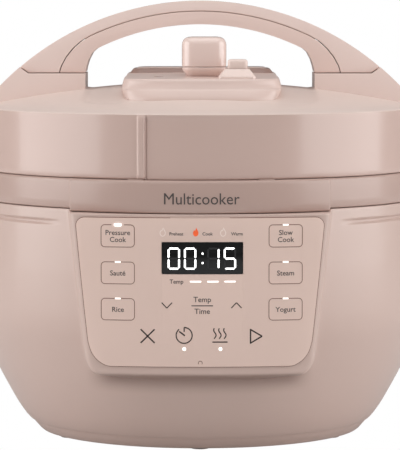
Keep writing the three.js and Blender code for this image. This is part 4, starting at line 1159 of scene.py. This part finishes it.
# ------------------------------------------------------------------ stage, lights, camera
def white_to_camera(tree, lit_shader, output, strength=1.0):
    """Shows plain white to the camera, and leaves the lighting to the other shader."""
    path = tree.nodes.new("ShaderNodeLightPath")
    white = tree.nodes.new("ShaderNodeEmission")
    white.inputs["Strength"].default_value = strength
    mix = tree.nodes.new("ShaderNodeMixShader")
    tree.links.new(path.outputs["Is Camera Ray"], mix.inputs["Fac"])
    tree.links.new(lit_shader, mix.inputs[1])
    tree.links.new(white.outputs["Emission"], mix.inputs[2])
    tree.links.new(mix.outputs["Shader"], output.inputs["Surface"])


floor_material, floor_tree, floor_shader = new_material("floor_white")
floor_shader.inputs["Base Color"].default_value = (0.72, 0.72, 0.72, 1)
floor_shader.inputs["Roughness"].default_value = 0.9
white_to_camera(floor_tree, floor_shader.outputs["BSDF"], floor_tree.nodes["Material Output"])
floor_mesh = bpy.data.meshes.new("floor")
floor_mesh.from_pydata([(-400, -400, 0), (400, -400, 0), (400, 400, 0), (-400, 400, 0)], [], [(0, 1, 2, 3)])
floor_mesh.materials.append(floor_material)
floor = bpy.data.objects.new("floor", floor_mesh)
bpy.context.scene.collection.objects.link(floor)

world = bpy.data.worlds.new("studio")
bpy.context.scene.world = world
world.use_nodes = True
background = world.node_tree.nodes["Background"]
background.inputs["Color"].default_value = (1, 1, 1, 1)
background.inputs["Strength"].default_value = 0.27
white_to_camera(world.node_tree, background.outputs["Background"], world.node_tree.nodes["World Output"])


def softbox(name, place, aim, width, height, power):
    light = bpy.data.lights.new(name, "AREA")
    light.shape = "RECTANGLE"
    light.size = width
    light.size_y = height
    light.energy = power
    holder = bpy.data.objects.new(name, light)
    bpy.context.scene.collection.objects.link(holder)
    holder.location = place
    holder.rotation_euler = (Vector(aim) - Vector(place)).to_track_quat("-Z", "Y").to_euler()


softbox("left_box", (-1.45, -0.4, 0.42), (0, 0, 0.1), 1.5, 1.6, 19)
softbox("right_box", (1.45, -0.4, 0.42), (0, 0, 0.1), 1.5, 1.6, 19)
softbox("top_box", (0, -0.2, 1.6), (0, 0, 0.2), 1.8, 1.4, 10.5)
softbox("front_box", (0, -1.5, 1.6), (0, 0, 0.25), 2.0, 0.7, 3.2)

camera_data = bpy.data.cameras.new("camera")
camera_data.sensor_width = 36
camera_data.lens = 233
camera = bpy.data.objects.new("camera", camera_data)
bpy.context.scene.collection.objects.link(camera)
camera.location = (0, -2.2, 0.333)
camera.rotation_euler = (Vector((0, 0, 0.156)) - camera.location).to_track_quat("-Z", "Y").to_euler()
bpy.context.scene.camera = camera
bpy.context.scene.view_settings.view_transform = "Standard"
